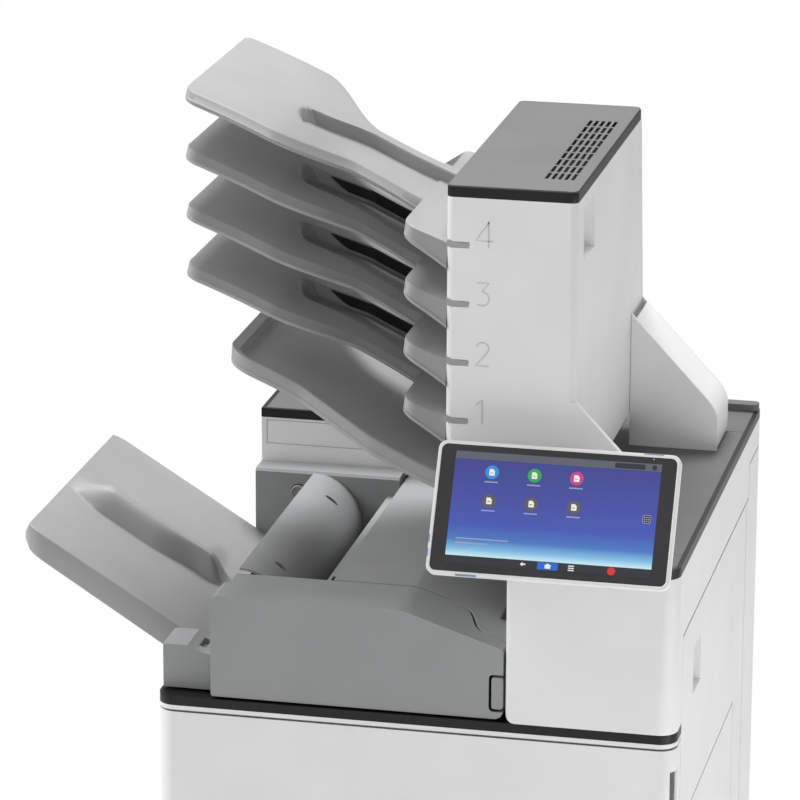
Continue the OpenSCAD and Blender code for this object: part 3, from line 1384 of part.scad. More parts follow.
feet();
bottom_pan();
left_cover();
rear_cover();
right_cover();
front_cabinet();
deck();
inner_cover();
top_band();
top_plate_front();
top_plate_main();
top_plate_rear();
rear_housing();
engine_frame();
laser_unit();
drum_frame();
toner_bottle();
fuser_frame();
exit_guide();
tower_floor();
tower_front();
tower_side();
tower_rear();
tower_wall();
tower_band();
tower_cap();
wedge_housing();
bin_tray_1();
bin_tray_2();
bin_tray_3();
bin_tray_4();
low_tray();
bin_rails();
panel_arm();
front_door();
drawer_front_1();
drawer_box_1();
lift_plate_1();
drawer_front_2();
drawer_box_2();
lift_plate_2();
right_door();
bypass_tray();
bypass_fence_front();
bypass_fence_rear();
panel_housing();
panel_screen();
finisher_front();
finisher_body();
exit_chute();
finisher_lid();
finisher_latch();
stack_tray();
jam_cover();
drum();
fuser_roller();
pressure_roller();
feed_roller_1();
feed_roller_2();
finisher_roller();
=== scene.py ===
import math
import bpy
import bmesh
from mathutils import Matrix, Vector


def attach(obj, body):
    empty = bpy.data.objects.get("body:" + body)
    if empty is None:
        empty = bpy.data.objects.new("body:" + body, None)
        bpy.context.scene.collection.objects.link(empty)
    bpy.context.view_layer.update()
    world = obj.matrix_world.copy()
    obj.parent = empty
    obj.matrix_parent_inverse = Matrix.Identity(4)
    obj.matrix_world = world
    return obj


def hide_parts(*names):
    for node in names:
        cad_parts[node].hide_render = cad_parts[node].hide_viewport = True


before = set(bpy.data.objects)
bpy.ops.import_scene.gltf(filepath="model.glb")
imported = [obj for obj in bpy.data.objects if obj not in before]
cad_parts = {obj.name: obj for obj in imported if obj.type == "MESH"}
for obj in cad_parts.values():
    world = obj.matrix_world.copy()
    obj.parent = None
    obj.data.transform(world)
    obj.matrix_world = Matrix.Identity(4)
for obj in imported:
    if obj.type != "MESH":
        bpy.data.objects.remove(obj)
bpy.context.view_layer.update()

# Machine coordinates are in mm from the left cover, the front covers and the floor.
originX, originY = 204.0, 287.375
perMetre = 1000


def place(x, y, z):
    return ((x - originX) / perMetre, (y - originY) / perMetre, z / perMetre)


def linear(hexCode):
    parts = [int(hexCode[i:i + 2], 16) / 255 for i in (1, 3, 5)]
    return (*[c / 12.92 if c <= 0.04045 else ((c + 0.055) / 1.055) ** 2.4 for c in parts], 1.0)


def feed(tree, node, inputs):
    # An input takes a value, or the output socket that it is linked to.
    for key, value in inputs.items():
        if isinstance(value, bpy.types.NodeSocket):
            tree.links.new(value, node.inputs[key])
        else:
            node.inputs[key].default_value = value


def addNode(tree, kind, inputs=None, **settings):
    node = tree.nodes.new(kind)
    for key, value in settings.items():
        setattr(node, key, value)
    feed(tree, node, inputs or {})
    return node


# Materials
def newMaterial(name):
    mat = bpy.data.materials.new(name)
    mat.use_nodes = True
    return mat, mat.node_tree, mat.node_tree.nodes["Principled BSDF"]


def setRamp(node, stops):
    elements = node.color_ramp.elements
    for i, (at, code) in enumerate(stops):
        stop = elements[i] if i < 2 else elements.new(at)
        stop.position = at
        stop.color = linear(code)


mould = {"cloudMm": 90, "roughSpread": 0.05, "bumpMm": 0.05, "specular": 0.4}


def mouldedPlastic(name, dark, light, rough, grainMm, bump=0.25):
    # Faint clouds of tone from the flow of the melt, and the mould's fine grain in gloss and bump.
    mat, tree, shader = newMaterial(name)
    coords = addNode(tree, "ShaderNodeTexCoord").outputs["Object"]
    grain = addNode(tree, "ShaderNodeTexNoise", {"Vector": coords, "Scale": perMetre / grainMm, "Detail": 3})
    cloud = addNode(tree, "ShaderNodeTexNoise", {"Vector": coords, "Scale": perMetre / mould["cloudMm"],
                                                 "Detail": 2})
    tone = addNode(tree, "ShaderNodeValToRGB", {"Fac": cloud.outputs["Fac"]})
    setRamp(tone, [(0.3, dark), (0.7, light)])
    gloss = addNode(tree, "ShaderNodeMapRange", {
        "Value": grain.outputs["Fac"], "To Min": rough - mould["roughSpread"],
        "To Max": rough + mould["roughSpread"]})
    relief = addNode(tree, "ShaderNodeBump", {
        "Height": grain.outputs["Fac"], "Strength": bump, "Distance": mould["bumpMm"] / perMetre})
    feed(tree, shader, {"Base Color": tone.outputs["Color"], "Roughness": gloss.outputs["Result"],
                        "Normal": relief.outputs["Normal"], "Specular IOR Level": mould["specular"]})
    return mat


def coatedMetal(name, dark, light, metal, rough, streakMm, stretch):
    # Long faint streaks along the direction of rolling or drawing.
    mat, tree, shader = newMaterial(name)
    coords = addNode(tree, "ShaderNodeTexCoord").outputs["Object"]
    along = addNode(tree, "ShaderNodeMapping", {"Vector": coords, "Scale": stretch})
    streak = addNode(tree, "ShaderNodeTexNoise", {
        "Vector": along.outputs["Vector"], "Scale": perMetre / streakMm, "Detail": 4})
    tone = addNode(tree, "ShaderNodeValToRGB", {"Fac": streak.outputs["Fac"]})
    setRamp(tone, [(0, dark), (1, light)])
    feed(tree, shader, {"Base Color": tone.outputs["Color"], "Metallic": metal, "Roughness": rough})
    return mat


pixel = {"fleckMm": 6, "shade": 0.92, "rough": 0.3}


def litPixels(name, code, glow):
    # Flat patches of the display that shine a little by themselves.
    mat, tree, shader = newMaterial(name)
    coords = addNode(tree, "ShaderNodeTexCoord").outputs["Object"]
    fleck = addNode(tree, "ShaderNodeTexNoise", {"Vector": coords, "Scale": perMetre / pixel["fleckMm"]})
    tone = addNode(tree, "ShaderNodeValToRGB", {"Fac": fleck.outputs["Fac"]})
    setRamp(tone, [(0, code), (1, code)])
    tone.color_ramp.elements[0].color = [pixel["shade"] * c for c in linear(code)[:3]] + [1]
    feed(tree, shader, {"Base Color": tone.outputs["Color"], "Emission Color": tone.outputs["Color"],
                        "Emission Strength": glow, "Roughness": pixel["rough"]})
    return mat


# Dark and light tone, roughness, grain in mm (as coarse as it takes to show) and bump.
plastics = {
    "whiteABS": ("#eeeeee", "#f3f3f3", 0.42, 0.9),  # cool white covers, satin and nearly smooth
    "panelRimABS": ("#f2f2f2", "#f7f7f7", 0.3, 1.2),  # whiter and glossier rim of the panel
    "trayGreyABS": ("#a2a2a3", "#a8a8a9", 0.5, 1.1, 0.4),  # pale grey trays with a grain that shows
    "finisherGreyABS": ("#98999a", "#9d9e9f", 0.48, 1.1, 0.35),  # mid grey finisher, grained and matt
    "plateGreyABS": ("#646464", "#696969", 0.5, 1.0, 0.4),  # dark grey top plates, matt
    "blackABS": ("#101010", "#161616", 0.42, 1.0),  # near-black belts and rails with a soft sheen, and painted shade on the rail strips of the lower trays
    "darkABS": ("#2f3133", "#383a3c", 0.55, 1.2),  # charcoal inner mouldings
    "paleABS": ("#bfc1c3", "#c8cacc", 0.45, 1.0),  # pale grey walls behind the doors and bins
    "numberABS": ("#c9c9c9", "#cfcfcf", 0.5, 0.9),  # painted shade in the engraved numbers
    "grooveABS": ("#b4b4b4", "#bcbcbc", 0.6, 0.8),  # painted shade in the seam under the deck
    "lipGreyABS": ("#a2a3a4", "#a9aaab", 0.5, 1.0),  # grey hooks of the bin lips
    "gapBlack": ("#050505", "#0b0b0b", 0.8, 0.8),  # painted shade: near-black that stands for the unlit depth of gaps and slots
    "bezelGlass": ("#3e3e40", "#434345", 0.22, 3, 0.02),  # back-painted glass, smooth and glossy
    "statusBlue": ("#86a3b8", "#93b0c4", 0.3, 1.0),  # tinted clear inserts that aren't lit
    "bottleHDPE": ("#d6d1c3", "#e2ded2", 0.5, 1.5),  # waxy off-white bottle
    "rollerEPDM": ("#202020", "#2c2c2c", 0.8, 0.7, 0.6),  # dull ground rubber
}
# Dark and light tone, metal share, roughness, streak in mm and its stretch.
metals = {
    "zincSteel": ("#8f9294", "#b9bcbe", 0.8, 0.4, 14, (1, 1, 4)),  # zinc plate, faintly streaked
    "drumCoat": ("#1d5c48", "#2a7a61", 0.3, 0.22, 30, (1, 6, 1)),  # green photoconductor, mirror-smooth
    "fuserCoat": ("#5c2c1f", "#7a3f2c", 0.2, 0.35, 25, (1, 6, 1)),  # brown non-stick sleeve
}
# Colour and glow of the display's patches.
pixels = {
    "barGrey": ("#6b6f7c", 0.1),  # dim slate bar at the head
    "barDark": ("#3c3f46", 0.05),  # near-dark foot bar and boxes
    "barPale": ("#a9b2cc", 0.12),  # faint lavender lines
    "tabBlue": ("#2f63c8", 0.4),  # bright blue tab
    "iconBlue": ("#3f8fd6", 0.3),  # sky blue disc
    "iconGreen": ("#3fa55a", 0.3),  # leaf green disc
    "iconPink": ("#c8468e", 0.3),  # magenta disc
    "iconGrey": ("#6c6a66", 0.1),  # muted brown-grey disc
    "iconRed": ("#d23b3b", 0.3),  # signal red dot
    "glyphWhite": ("#f0f0f0", 0.3),  # clear white signs
}
materials = {name: mouldedPlastic(name, *look) for name, look in plastics.items()}
materials.update({name: coatedMetal(name, *look) for name, look in metals.items()})
materials.update({name: litPixels(name, *look) for name, look in pixels.items()})
print("materials made")


# Outlines
def smoothStep(t):
    t = max(0.0, min(1.0, t))
    return t * t * (3 - 2 * t)


def ease(x, start, run):
    # Goes smoothly from 0 at start to 1 at start + run; run may be negative.
    return smoothStep((x - start) / run)


def evenly(start, end, count):
    return [start + (end - start) * i / count for i in range(1, count + 1)]


def arc(cx, cy, r, start, end, steps=12):
    angles = [math.radians(start + (end - start) * i / steps) for i in range(steps + 1)]
    return [(cx + r * math.cos(a), cy + r * math.sin(a)) for a in angles]


def ellipse(cx, cy, rx, ry, steps=32):
    angles = [2 * math.pi * i / steps for i in range(steps)]
    return [(cx + rx * math.cos(a), cy + ry * math.sin(a)) for a in angles]


def roundRect(x, y, r, steps=8):
    corners = ((x[1] - r, y[1] - r, 0), (x[0] + r, y[1] - r, 90), (x[0] + r, y[0] + r, 180),
               (x[1] - r, y[0] + r, 270))
    return [p for cx, cy, start in corners for p in arc(cx, cy, r, start, start + 90, steps)]


def rectangle(x, y):
    return [(x[0], y[0]), (x[1], y[0]), (x[1], y[1]), (x[0], y[1])]


def profile(y, z, steps):
    # Points of a cross-section, given as steps from one of its corners.
    return [(y + dy, z + dz) for dy, dz in steps]


def roundedCut(distance, radius):
    # How far a corner of this radius has drawn in at a distance from its end.
    inside = min(radius, max(0.0, distance))
    return radius - math.sqrt(max(0.0, radius ** 2 - (radius - inside) ** 2))


def arcStations(start, radius, step=10):
    return [start + radius * (1 - math.cos(math.radians(a))) for a in range(0, 91, step)]


# Meshes
def sharpen(mesh, degrees=34):
    bm = bmesh.new()
    bm.from_mesh(mesh)
    for face in bm.faces:
        face.smooth = True
    for edge in bm.edges:
        edge.smooth = not (len(edge.link_faces) == 2 and edge.calc_face_angle(0) > math.radians(degrees))
    bm.to_mesh(mesh)
    bm.free()


def closedShell(name, rings):
    # Joins rings of equal length, closes both ends and points the faces outwards.
    n = len(rings[0])
    points = [place(*p) for ring in rings for p in ring]
    faces = [tuple(range(n)), tuple(range(len(points) - n, len(points)))]
    for s in range(0, len(points) - n, n):
        faces += [(s + i, s + (i + 1) % n, s + n + (i + 1) % n, s + n + i) for i in range(n)]
    mesh = bpy.data.meshes.new(name)
    mesh.from_pydata(points, [], faces)
    mesh.validate()
    bm = bmesh.new()
    bm.from_mesh(mesh)
    bmesh.ops.recalc_face_normals(bm, faces=bm.faces)
    bm.to_mesh(mesh)
    bm.free()
    shell = bpy.data.objects.new(name, mesh)
    bpy.context.scene.collection.objects.link(shell)
    return shell


def bevelEdges(piece, widthMm, segments=3, degrees=30):
    bevel = piece.modifiers.new("edges", "BEVEL")
    bevel.width = widthMm / perMetre
    bevel.segments = segments
    bevel.limit_method = "ANGLE"
    bevel.angle_limit = math.radians(degrees)
    bevel.harden_normals = False
    bevel.use_clamp_overlap = True
    weighted = piece.modifiers.new("normals", "WEIGHTED_NORMAL")
    weighted.keep_sharp = False
    for poly in piece.data.polygons:
        poly.use_smooth = True
    for edge in piece.data.edges:
        edge.use_edge_sharp = False
    return piece


def makePiece(name, body, material, rings, bevelMm=0.0, replaces=(), slotName=None, smoothAt=34):
    piece = closedShell(name, rings)
    piece.data.materials.append(materials[material])
    sharpen(piece.data, smoothAt)
    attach(piece, body)
    if replaces:
        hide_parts(*replaces)
    return bevelEdges(piece, bevelMm) if bevelMm else piece


def extruded(outline, axis, low, high):
    order = {"x": lambda a, b, level: (level, a, b), "y": lambda a, b, level: (a, level, b),
             "z": lambda a, b, level: (a, b, level)}[axis]
    return [[order(a, b, level) for a, b in outline] for level in (low, high)]


def prism(name, body, material, outline, axis, low, high, bevelMm=0.0, **facts):
    return makePiece(name, body, material, extruded(outline, axis, low, high), bevelMm, **facts)


def blockPiece(name, body, material, x, y, z, bevelMm=0.0, **facts):
    return prism(name, body, material, rectangle(x, y), "z", *z, bevelMm, **facts)


def cutter(outline, axis, low, high):
    return closedShell("cutter", extruded(outline, axis, low, high))


def carved(piece, cutters):
    # Cuts the forms away and drops them.
    for form in cutters:
        cut = piece.modifiers.new("cut", "BOOLEAN")
        cut.operation = "DIFFERENCE"
        cut.solver = "EXACT"
        cut.object = form
    mesh = bpy.data.meshes.new_from_object(piece.evaluated_get(bpy.context.evaluated_depsgraph_get()))
    mesh.name = piece.name
    piece.modifiers.clear()
    piece.data = mesh
    for form in cutters:
        bpy.data.objects.remove(form, do_unlink=True)


# CAD nodes with their own finish
nodeFinish = {
    "whiteABS": ["bottom_pan", "left_cover", "rear_cover", "right_cover", "front_cabinet", "rear_housing",
                 "tower_front", "tower_side", "tower_rear", "wedge_housing", "jam_cover", "front_door",
                 "drawer_front_1", "drawer_front_2", "right_door", "bypass_tray", "panel_housing"],
    "paleABS": ["inner_cover", "tower_wall"],
    "blackABS": ["deck", "top_band", "tower_band", "bin_rails"],
    "plateGreyABS": ["top_plate_front", "top_plate_main", "top_plate_rear", "tower_cap"],
    "finisherGreyABS": ["finisher_front", "finisher_lid", "finisher_latch", "exit_chute", "finisher_body"],
    "trayGreyABS": ["bin_tray_1", "bin_tray_2", "bin_tray_3", "bin_tray_4", "low_tray", "stack_tray"],
    "darkABS": ["laser_unit", "drum_frame", "drawer_box_1", "drawer_box_2", "exit_guide", "tower_floor",
                "bypass_fence_front", "bypass_fence_rear", "panel_arm"],
    "zincSteel": ["engine_frame", "lift_plate_1", "lift_plate_2", "fuser_frame"],
    "bezelGlass": ["panel_screen"],
    "drumCoat": ["drum"],
    "bottleHDPE": ["toner_bottle"],
    "fuserCoat": ["fuser_roller"],
    "rollerEPDM": ["pressure_roller", "feed_roller_1", "feed_roller_2", "finisher_roller", "feet"],
}
# Edge rounding in mm of the nodes that show.
edgeMm = {
    "front_cabinet": 1.2, "front_door": 1.5, "drawer_front_1": 1.5, "drawer_front_2": 1.5, "deck": 1.2,
    "top_band": 1.2, "top_plate_front": 0.8, "top_plate_main": 0.8, "top_plate_rear": 1.5, "right_cover": 0.8,
    "right_door": 1.0, "bypass_tray": 1.0, "left_cover": 0.8, "rear_cover": 0.6, "rear_housing": 0.8,
    "tower_front": 1.2, "tower_side": 1.0, "tower_rear": 1.2, "tower_band": 1.5, "tower_cap": 0.6,
    "wedge_housing": 1.5, "jam_cover": 1.2, "finisher_body": 1.2, "finisher_lid": 1.0, "finisher_latch": 1.2,
    "exit_chute": 0.8, "panel_arm": 1.0, "bottom_pan": 1.0,
}
nodeEdge = {"weldMm": 0.02, "segments": 3, "degrees": 32}
for finish, names in nodeFinish.items():
    for name in names:
        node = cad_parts[name]
        node.data.materials.clear()
        node.data.materials.append(materials[finish])
for name, width in edgeMm.items():
    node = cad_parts[name]
    weld = node.modifiers.new("weld", "WELD")
    weld.merge_threshold = nodeEdge["weldMm"] / perMetre
    bevel = node.modifiers.new("edges", "BEVEL")
    bevel.width = width / perMetre
    bevel.segments = nodeEdge["segments"]
    bevel.limit_method = "ANGLE"
    bevel.angle_limit = math.radians(nodeEdge["degrees"])
    bevel.harden_normals = True
print("CAD nodes finished")


# Bin trays: a paddle that bends down past a trough with a rail to a wide shoulder on the tower
tray = {"x0": 312, "len": 304, "rise": 147, "step": 13, "tip": 13, "root": 16, "rootShare": 0.3, "tipX": 8,
        "front": 110, "back": 406, "neckFront": 181, "neckBack": 311, "wall": 283, "frontY": 76, "backY": 440,
        "shoulder": 262, "cornerR": 15, "backCornerR": 10, "shoulderR": 16, "bendStart": 103, "bendEnd": 190,
        "lipH": 5.2, "bevelW": 11, "fineFrom": 104, "fineTo": 136, "swell": 0.15, "hair": 0.001,
        "lips": [839.0, 905.6, 972.2, 1038.8], "rootXs": [290, 301, 312]}
# The trough in each tray: threes hold an amount in mm, the x where it begins and its run, and "fall" the last
# two of these. The scoop at its tip holds depth, half width and power.
trough = {"lift": (2.5, 262, -60), "drop": 2.2, "fall": (104, 74), "crease": 195, "creaseOut": (34, 118, 52),
          "creaseBack": (12, 196, 60), "wallIn": (30, 120, 74), "scoopStart": 110, "scoopRun": 6,
          "scoopMiddle": 235, "scoopFront": (14, 35, 2), "scoopBack": (15, 20, 1.5)}
trayProfile = {
    "frontFoot": [(3, 0), (0.9, 0.8), (0, 2.6)], "frontLip": [(0, -0.8), (0.5, 0), (2.2, 0.5)],
    "bevelTop": [(-2.4, -1.1), (-0.8, -0.2), (1.4, 0)], "backTop": [(-8.6, 0), (-5.4, -0.7), (-3.4, -2.4)],
    "backFoot": [(-1, 6), (0, 5.2), (0, 3), (-0.9, 1), (-3, 0)],
    "railSide": [(-0.6, 0.12), (0, 0.3), (0.2, 0.86), (1.6, 1)],
    "rootStep": [(303, 0), (308, 0), (310, -1)], "rootFoot": [(311, 1), (313, 0)],
}


def riseAt(u):
    return u - tray["swell"] * math.sin(2 * math.pi * u) / (2 * math.pi)


def trayHigh(x):
    u = (tray["x0"] - x) / tray["len"]
    return tray["step"] + (tray["rise"] - tray["step"]) * riseAt(u)


def stripDrop(x):
    # How far the strip in front of the trough has come down from the high level.
    lift, start, run = trough["lift"]
    return (tray["step"] - lift * ease(x, start, run)) * ease(x, *trough["fall"])


def creaseY(x):
    out, outStart, outRun = trough["creaseOut"]
    back, backStart, backRun = trough["creaseBack"]
    return trough["crease"] + out * ease(x, outStart, outRun) - back * ease(x, backStart, backRun)


def railWallY(x):
    inward, start, run = trough["wallIn"]
    return tray["wall"] - inward * (1 - ease(x, start, run))


def troughShare(x, y):
    # The trough's tip is rounded on plan, and its floor dips in over a few mm.
    start = trough["scoopStart"]
    offMiddle = y - trough["scoopMiddle"]
    for off, (deep, wide, power) in ((-offMiddle, trough["scoopFront"]), (offMiddle, trough["scoopBack"])):
        start += deep * (max(0, off) / wide) ** power
    return ease(x, start, trough["scoopRun"])


def bend(x):
    return ease(x, tray["bendStart"], tray["bendEnd"] - tray["bendStart"])


def trayEdge(x, paddle, neck, shoulder, cornerR, inward):
    if x <= tray["bendEnd"]:
        return paddle + inward * roundedCut(x - tray["tipX"], cornerR) + bend(x) * (neck - paddle)
    if x <= tray["shoulder"]:
        return neck
    return shoulder + inward * roundedCut(x - tray["shoulder"] - tray["hair"], tray["shoulderR"])


def trayStations():
    tip = arcStations(tray["tipX"], tray["cornerR"])
    run = evenly(tip[-1], tray["fineFrom"], 10)
    scoop = evenly(tray["fineFrom"], tray["fineTo"], 20)
    rest = evenly(tray["fineTo"], tray["shoulder"], 30)
    flare = [x + 2 * tray["hair"] for x in arcStations(tray["shoulder"], tray["shoulderR"])]
    return tip + run + scoop + rest + flare + tray["rootXs"]


def trayRing(x, lip):
    yF = trayEdge(x, tray["front"], tray["neckFront"], tray["frontY"], tray["cornerR"], 1)
    yB = trayEdge(x, tray["back"], tray["neckBack"], tray["backY"], tray["backCornerR"], -1)
    u = (tray["x0"] - x) / tray["len"]
    thick = tray["tip"] + tray["root"] * max(0, 1 - u / tray["rootShare"]) ** 2
    high, shoulder = trayHigh(x), x > tray["shoulder"] + tray["hair"]
    strip = high - (tray["step"] if shoulder else stripDrop(x))
    under = strip - thick
    bevelEnd = yF + tray["bevelW"]
    crease = max(creaseY(x), bevelEnd + 4)
    wall = max(railWallY(x), crease + 12)

    def floorAt(y):
        floorLevel = high - tray["step"] - trough["drop"]
        return strip if shoulder else strip + (floorLevel - strip) * troughShare(x, y)

    ring = profile(yF, under, trayProfile["frontFoot"])
    ring += profile(yF, under + tray["lipH"], trayProfile["frontLip"])
    ring += profile(bevelEnd, strip, trayProfile["bevelTop"])
    ring += [(y, strip) for y in evenly(ring[-1][0], crease, 6)]
    ring += [(crease + 0.8, strip + 0.35 * (floorAt(crease + 3) - strip)),
             (crease + 3.4, floorAt(crease + 3))]
    ring += [(y, floorAt(y)) for y in evenly(crease + 3.4, wall - 3, 8)]
    low = floorAt(wall - 3)
    ring += [(wall + dy, low + share * (high - low)) for dy, share in trayProfile["railSide"]]
    edge = high
    if shoulder:
        ring += profile(0, high, trayProfile["rootStep"]) + profile(0, strip, trayProfile["rootFoot"])
        edge = strip
    ring += [(y, edge) for y in evenly(ring[-1][0], yB - 9, 4 if shoulder else 9)[:-1]]
    ring += profile(yB, edge, trayProfile["backTop"]) + profile(yB, under, trayProfile["backFoot"])
    return [(x, y, lip + z) for y, z in ring]


for i, lip in enumerate(tray["lips"]):
    makePiece(f"binTray{i + 1}", "chassis", "trayGreyABS", [trayRing(x, lip) for x in trayStations()],
              smoothAt=28, replaces=(f"bin_tray_{i + 1}",), slotName="grey_tray")

# Painted shade: a black strip on the trough side of each rail of the lower three trays, where the tray above
# leaves the rail wall in shade, growing from a point at the paddle's end
railShadeStrip = {"from": 141, "to": 263, "top": 1.2, "foot": 11.5, "thick": 0.5, "sunk": 0.1, "proud": 0.3}
for i, lip in enumerate(tray["lips"][:3]):
    rings = []
    for k, x in enumerate([railShadeStrip["from"]] + evenly(railShadeStrip["from"], railShadeStrip["to"], 20)):
        y, top = railWallY(x) - railShadeStrip["sunk"], lip + trayHigh(x) - railShadeStrip["top"]
        foot = top - railShadeStrip["foot"] * min(1.0, 0.12 + k / 3)
        left, right = y - railShadeStrip["thick"], y + railShadeStrip["proud"]
        rings.append([(x, left, foot), (x, left, top), (x, right, top), (x, right, foot)])
    makePiece(f"railStrip{i + 1}", "chassis", "blackABS", rings)
print("bin trays made")

# Lowest tray: a dished paddle that flares out to the tower
lowTray = {"x0": 312, "tipX": 55, "len": 257, "lip": 772.4, "rise": 120, "rim": 10, "dish": 6, "thick": 19,
           "cornerR": 28, "paddleEnd": 139, "flareEnd": 226.3, "front": 110, "back": 406, "flareFront": 80,
           "flareBack": 436, "rootFront": 76, "rootBack": 440, "dishRun": 3}
lowProfile = {
    "frontFoot": [(3, 0), (0.8, 1), (0, 3), (0, 6), (1, 6.8)], "frontTop": [(3.4, -3), (4.6, -0.8), (6.5, 0)],
    "backTop": [(-6.5, 0), (-4.6, -0.8), (-3.4, -3)],
    "backFoot": [(-1, 6.8), (0, 6), (0, 3), (-0.8, 1), (-3, 0)],
}


def lowEdge(x, paddle, flare, root):
    paddleEnd, flareEnd = lowTray["paddleEnd"], lowTray["flareEnd"]
    if x <= paddleEnd:
        return paddle
    if x <= flareEnd:
        return paddle + (flare - paddle) * (x - paddleEnd) / (flareEnd - paddleEnd)
    return flare + (root - flare) * (x - flareEnd) / (lowTray["x0"] - flareEnd)


def lowRing(x):
    top = lowTray["lip"] + lowTray["rise"] * riseAt((lowTray["x0"] - x) / lowTray["len"])
    under = top - lowTray["thick"]
    d, rim = x - lowTray["tipX"], lowTray["rim"]
    cut = roundedCut(d, lowTray["cornerR"])
    yF = lowEdge(x, lowTray["front"], lowTray["flareFront"], lowTray["rootFront"]) + cut
    yB = lowEdge(x, lowTray["back"], lowTray["flareBack"], lowTray["rootBack"]) - cut
    inner = roundedCut(max(0.0, d - rim), lowTray["cornerR"] - rim)
    dishF, dishB = max(yF + rim, yF - cut + rim + inner), min(yB - rim, yB + cut - rim - inner)
    depth = lowTray["dish"] * ease(d, rim, lowTray["dishRun"])
    dish = top - depth
    ring = profile(yF, under, lowProfile["frontFoot"]) + profile(yF, top, lowProfile["frontTop"])
    ring += [(dishF - 0.4, top), (dishF + 0.8, top - 0.2 * depth), (dishF + 3, dish)]
    ring += [(y, dish) for y in evenly(dishF + 3, dishB - 3, 14)[:-1]]
    ring += [(dishB - 3, dish), (dishB - 0.8, top - 0.2 * depth), (dishB + 0.4, top)]
    ring += profile(yB, top, lowProfile["backTop"]) + profile(yB, under, lowProfile["backFoot"])
    return [(x, y, z) for y, z in ring]


lowStations = arcStations(lowTray["tipX"], lowTray["cornerR"], 9)
lowStations = sorted(set(lowStations + [64.6, 65, 66, 67, 68, 69.5]))
lowStations += evenly(lowStations[-1], lowTray["x0"], 36)
makePiece("lowTray", "chassis", "trayGreyABS", [lowRing(x) for x in lowStations], smoothAt=28,
          replaces=("low_tray",), slotName="grey_tray")

# White lip under the deck, and painted shade for the seam below it
skirt = {"out": 0.5, "thick": 1.5, "foot": 503.0, "top": 507.8, "r": 20, "width": 587, "reach": 40,
         "seamOut": -0.6, "seamIn": -1.4, "seamFoot": 501.9}


def skirtPath(grow):
    r, width, reach = skirt["r"], skirt["width"], skirt["reach"]
    left, right = arc(r, r, r + grow, 180, 270, 10), arc(width - r, r, r + grow, 270, 360, 10)
    return [(-grow, reach)] + left + right + [(width + grow, reach)]


prism("deckLip", "chassis", "whiteABS", skirtPath(skirt["out"]) + skirtPath(-skirt["thick"])[::-1], "z",
      skirt["foot"], skirt["top"])
prism("deckLipSeam", "chassis", "grooveABS", skirtPath(skirt["seamOut"]) + skirtPath(skirt["seamIn"])[::-1],
      "z", skirt["seamFoot"], skirt["foot"])

# Stack tray with its long hump and a finger dip behind it
stack = {"tip": -179, "topTip": -169.6, "end": 40, "level": 575.0, "levelX": 3, "slope": 0.61, "thick": 32,
         "edge": 17.4, "front": 77.3, "back": 439.3, "r": 26, "under": 536.6, "foot": 7, "fineFrom": 214,
         "fineTo": 300, "humpFoot": 218, "humpCrest": 240, "humpBack": 290, "humpHigh": 29, "humpStart": -170,
         "humpEnd": 18, "humpGrow": 60, "humpFade": -16, "humpRound": 0.9, "humpPlay": 5, "footIn": (12, 46),
         "footOut": (15, -66, 56), "dipY": 299, "dipHalf": 32, "dipDeep": 9, "dipRun": (-20, 22),
         "lugs": (140, 340), "lugW": 30, "lugX": (39, 73), "lugTop": 544.3}


def stackTop(x):
    return stack["level"] - stack["slope"] * (x - stack["levelX"])


def humpAt(x, y):
    along = ease(x, stack["humpStart"], stack["humpGrow"]) * ease(x, stack["humpEnd"], stack["humpFade"])
    inward, inRun = stack["footIn"]
    outward, outStart, outRun = stack["footOut"]
    foot = stack["humpFoot"] + inward * (1 - ease(x, stack["humpStart"], inRun))
    foot += outward * ease(x, outStart, outRun)
    crest, back = stack["humpCrest"], stack["humpBack"]
    if y <= foot or y >= back:
        return 0
    if y < crest:
        share = (y - foot) / (crest - foot)
        return stack["humpHigh"] * along * (share * (2 - share)) ** stack["humpRound"]
    crest += stack["humpPlay"]
    return stack["humpHigh"] * along * (1 - ease(y, crest, back - crest))


def fingerDip(x, y):
    across = max(0.0, 1 - ((y - stack["dipY"]) / stack["dipHalf"]) ** 2)
    return stack["dipDeep"] * across * ease(x, *stack["dipRun"])


def stackRing(x):
    d, nose = x - stack["tip"], stack["topTip"] - stack["tip"]
    top = stackTop(max(x, stack["topTip"]))
    heel = top - stack["thick"]
    if x < stack["topTip"]:
        middle = top - stack["edge"]
        top, under = middle + (top - middle) * d / nose, middle + (heel - middle) * d / nose
    else:
        share = (x - stack["topTip"]) / (stack["foot"] - stack["topTip"])
        flat = stackTop(stack["topTip"]) - stack["thick"]
        under = max(stack["under"], flat + (stack["under"] - flat) * share)
    cut = roundedCut(d, stack["r"])
    yF, yB = stack["front"] + cut, stack["back"] - cut
    side, full = top - under, min(1.0, d / nose)
    wall = [(0.8, under + 0.9 * full), (0, under + 0.1 * side), (0, top - 2.4 * full),
            (0.7, top - 0.9 * full), (2.2, top)]
    ys = [yF + 4] + evenly(yF + 4, stack["fineFrom"], 5) + evenly(stack["fineFrom"], stack["fineTo"], 43)
    ys += evenly(stack["fineTo"], yB - 4, 9)
    ring = [(yF + 3, under)] + [(yF + dy, z) for dy, z in wall]
    ring += [(y, top + humpAt(x, y) - fingerDip(x, y)) for y in ys]
    ring += [(yB - dy, z) for dy, z in wall[::-1]] + [(yB - 3, under)]
    return [(x, y, z) for y, z in ring]


stackStations = [stack["tip"] + 0.2, -177.5, -175.5, -173.5, -171.5, -169.6, -168, -166, -163.6, -160.8,
                 -157.6, -154]
stackStations += [-151] + evenly(-151, stack["end"], 60)
makePiece("stackTray", "stack", "trayGreyABS", [stackRing(x) for x in stackStations], smoothAt=38,
          replaces=("stack_tray",), slotName="grey_tray")
for k, y in enumerate(stack["lugs"]):
    blockPiece(f"stackLug{k + 1}", "stack", "trayGreyABS", stack["lugX"], (y, y + stack["lugW"]),
               (stack["under"], stack["lugTop"]), 0.8)
print("trays made")


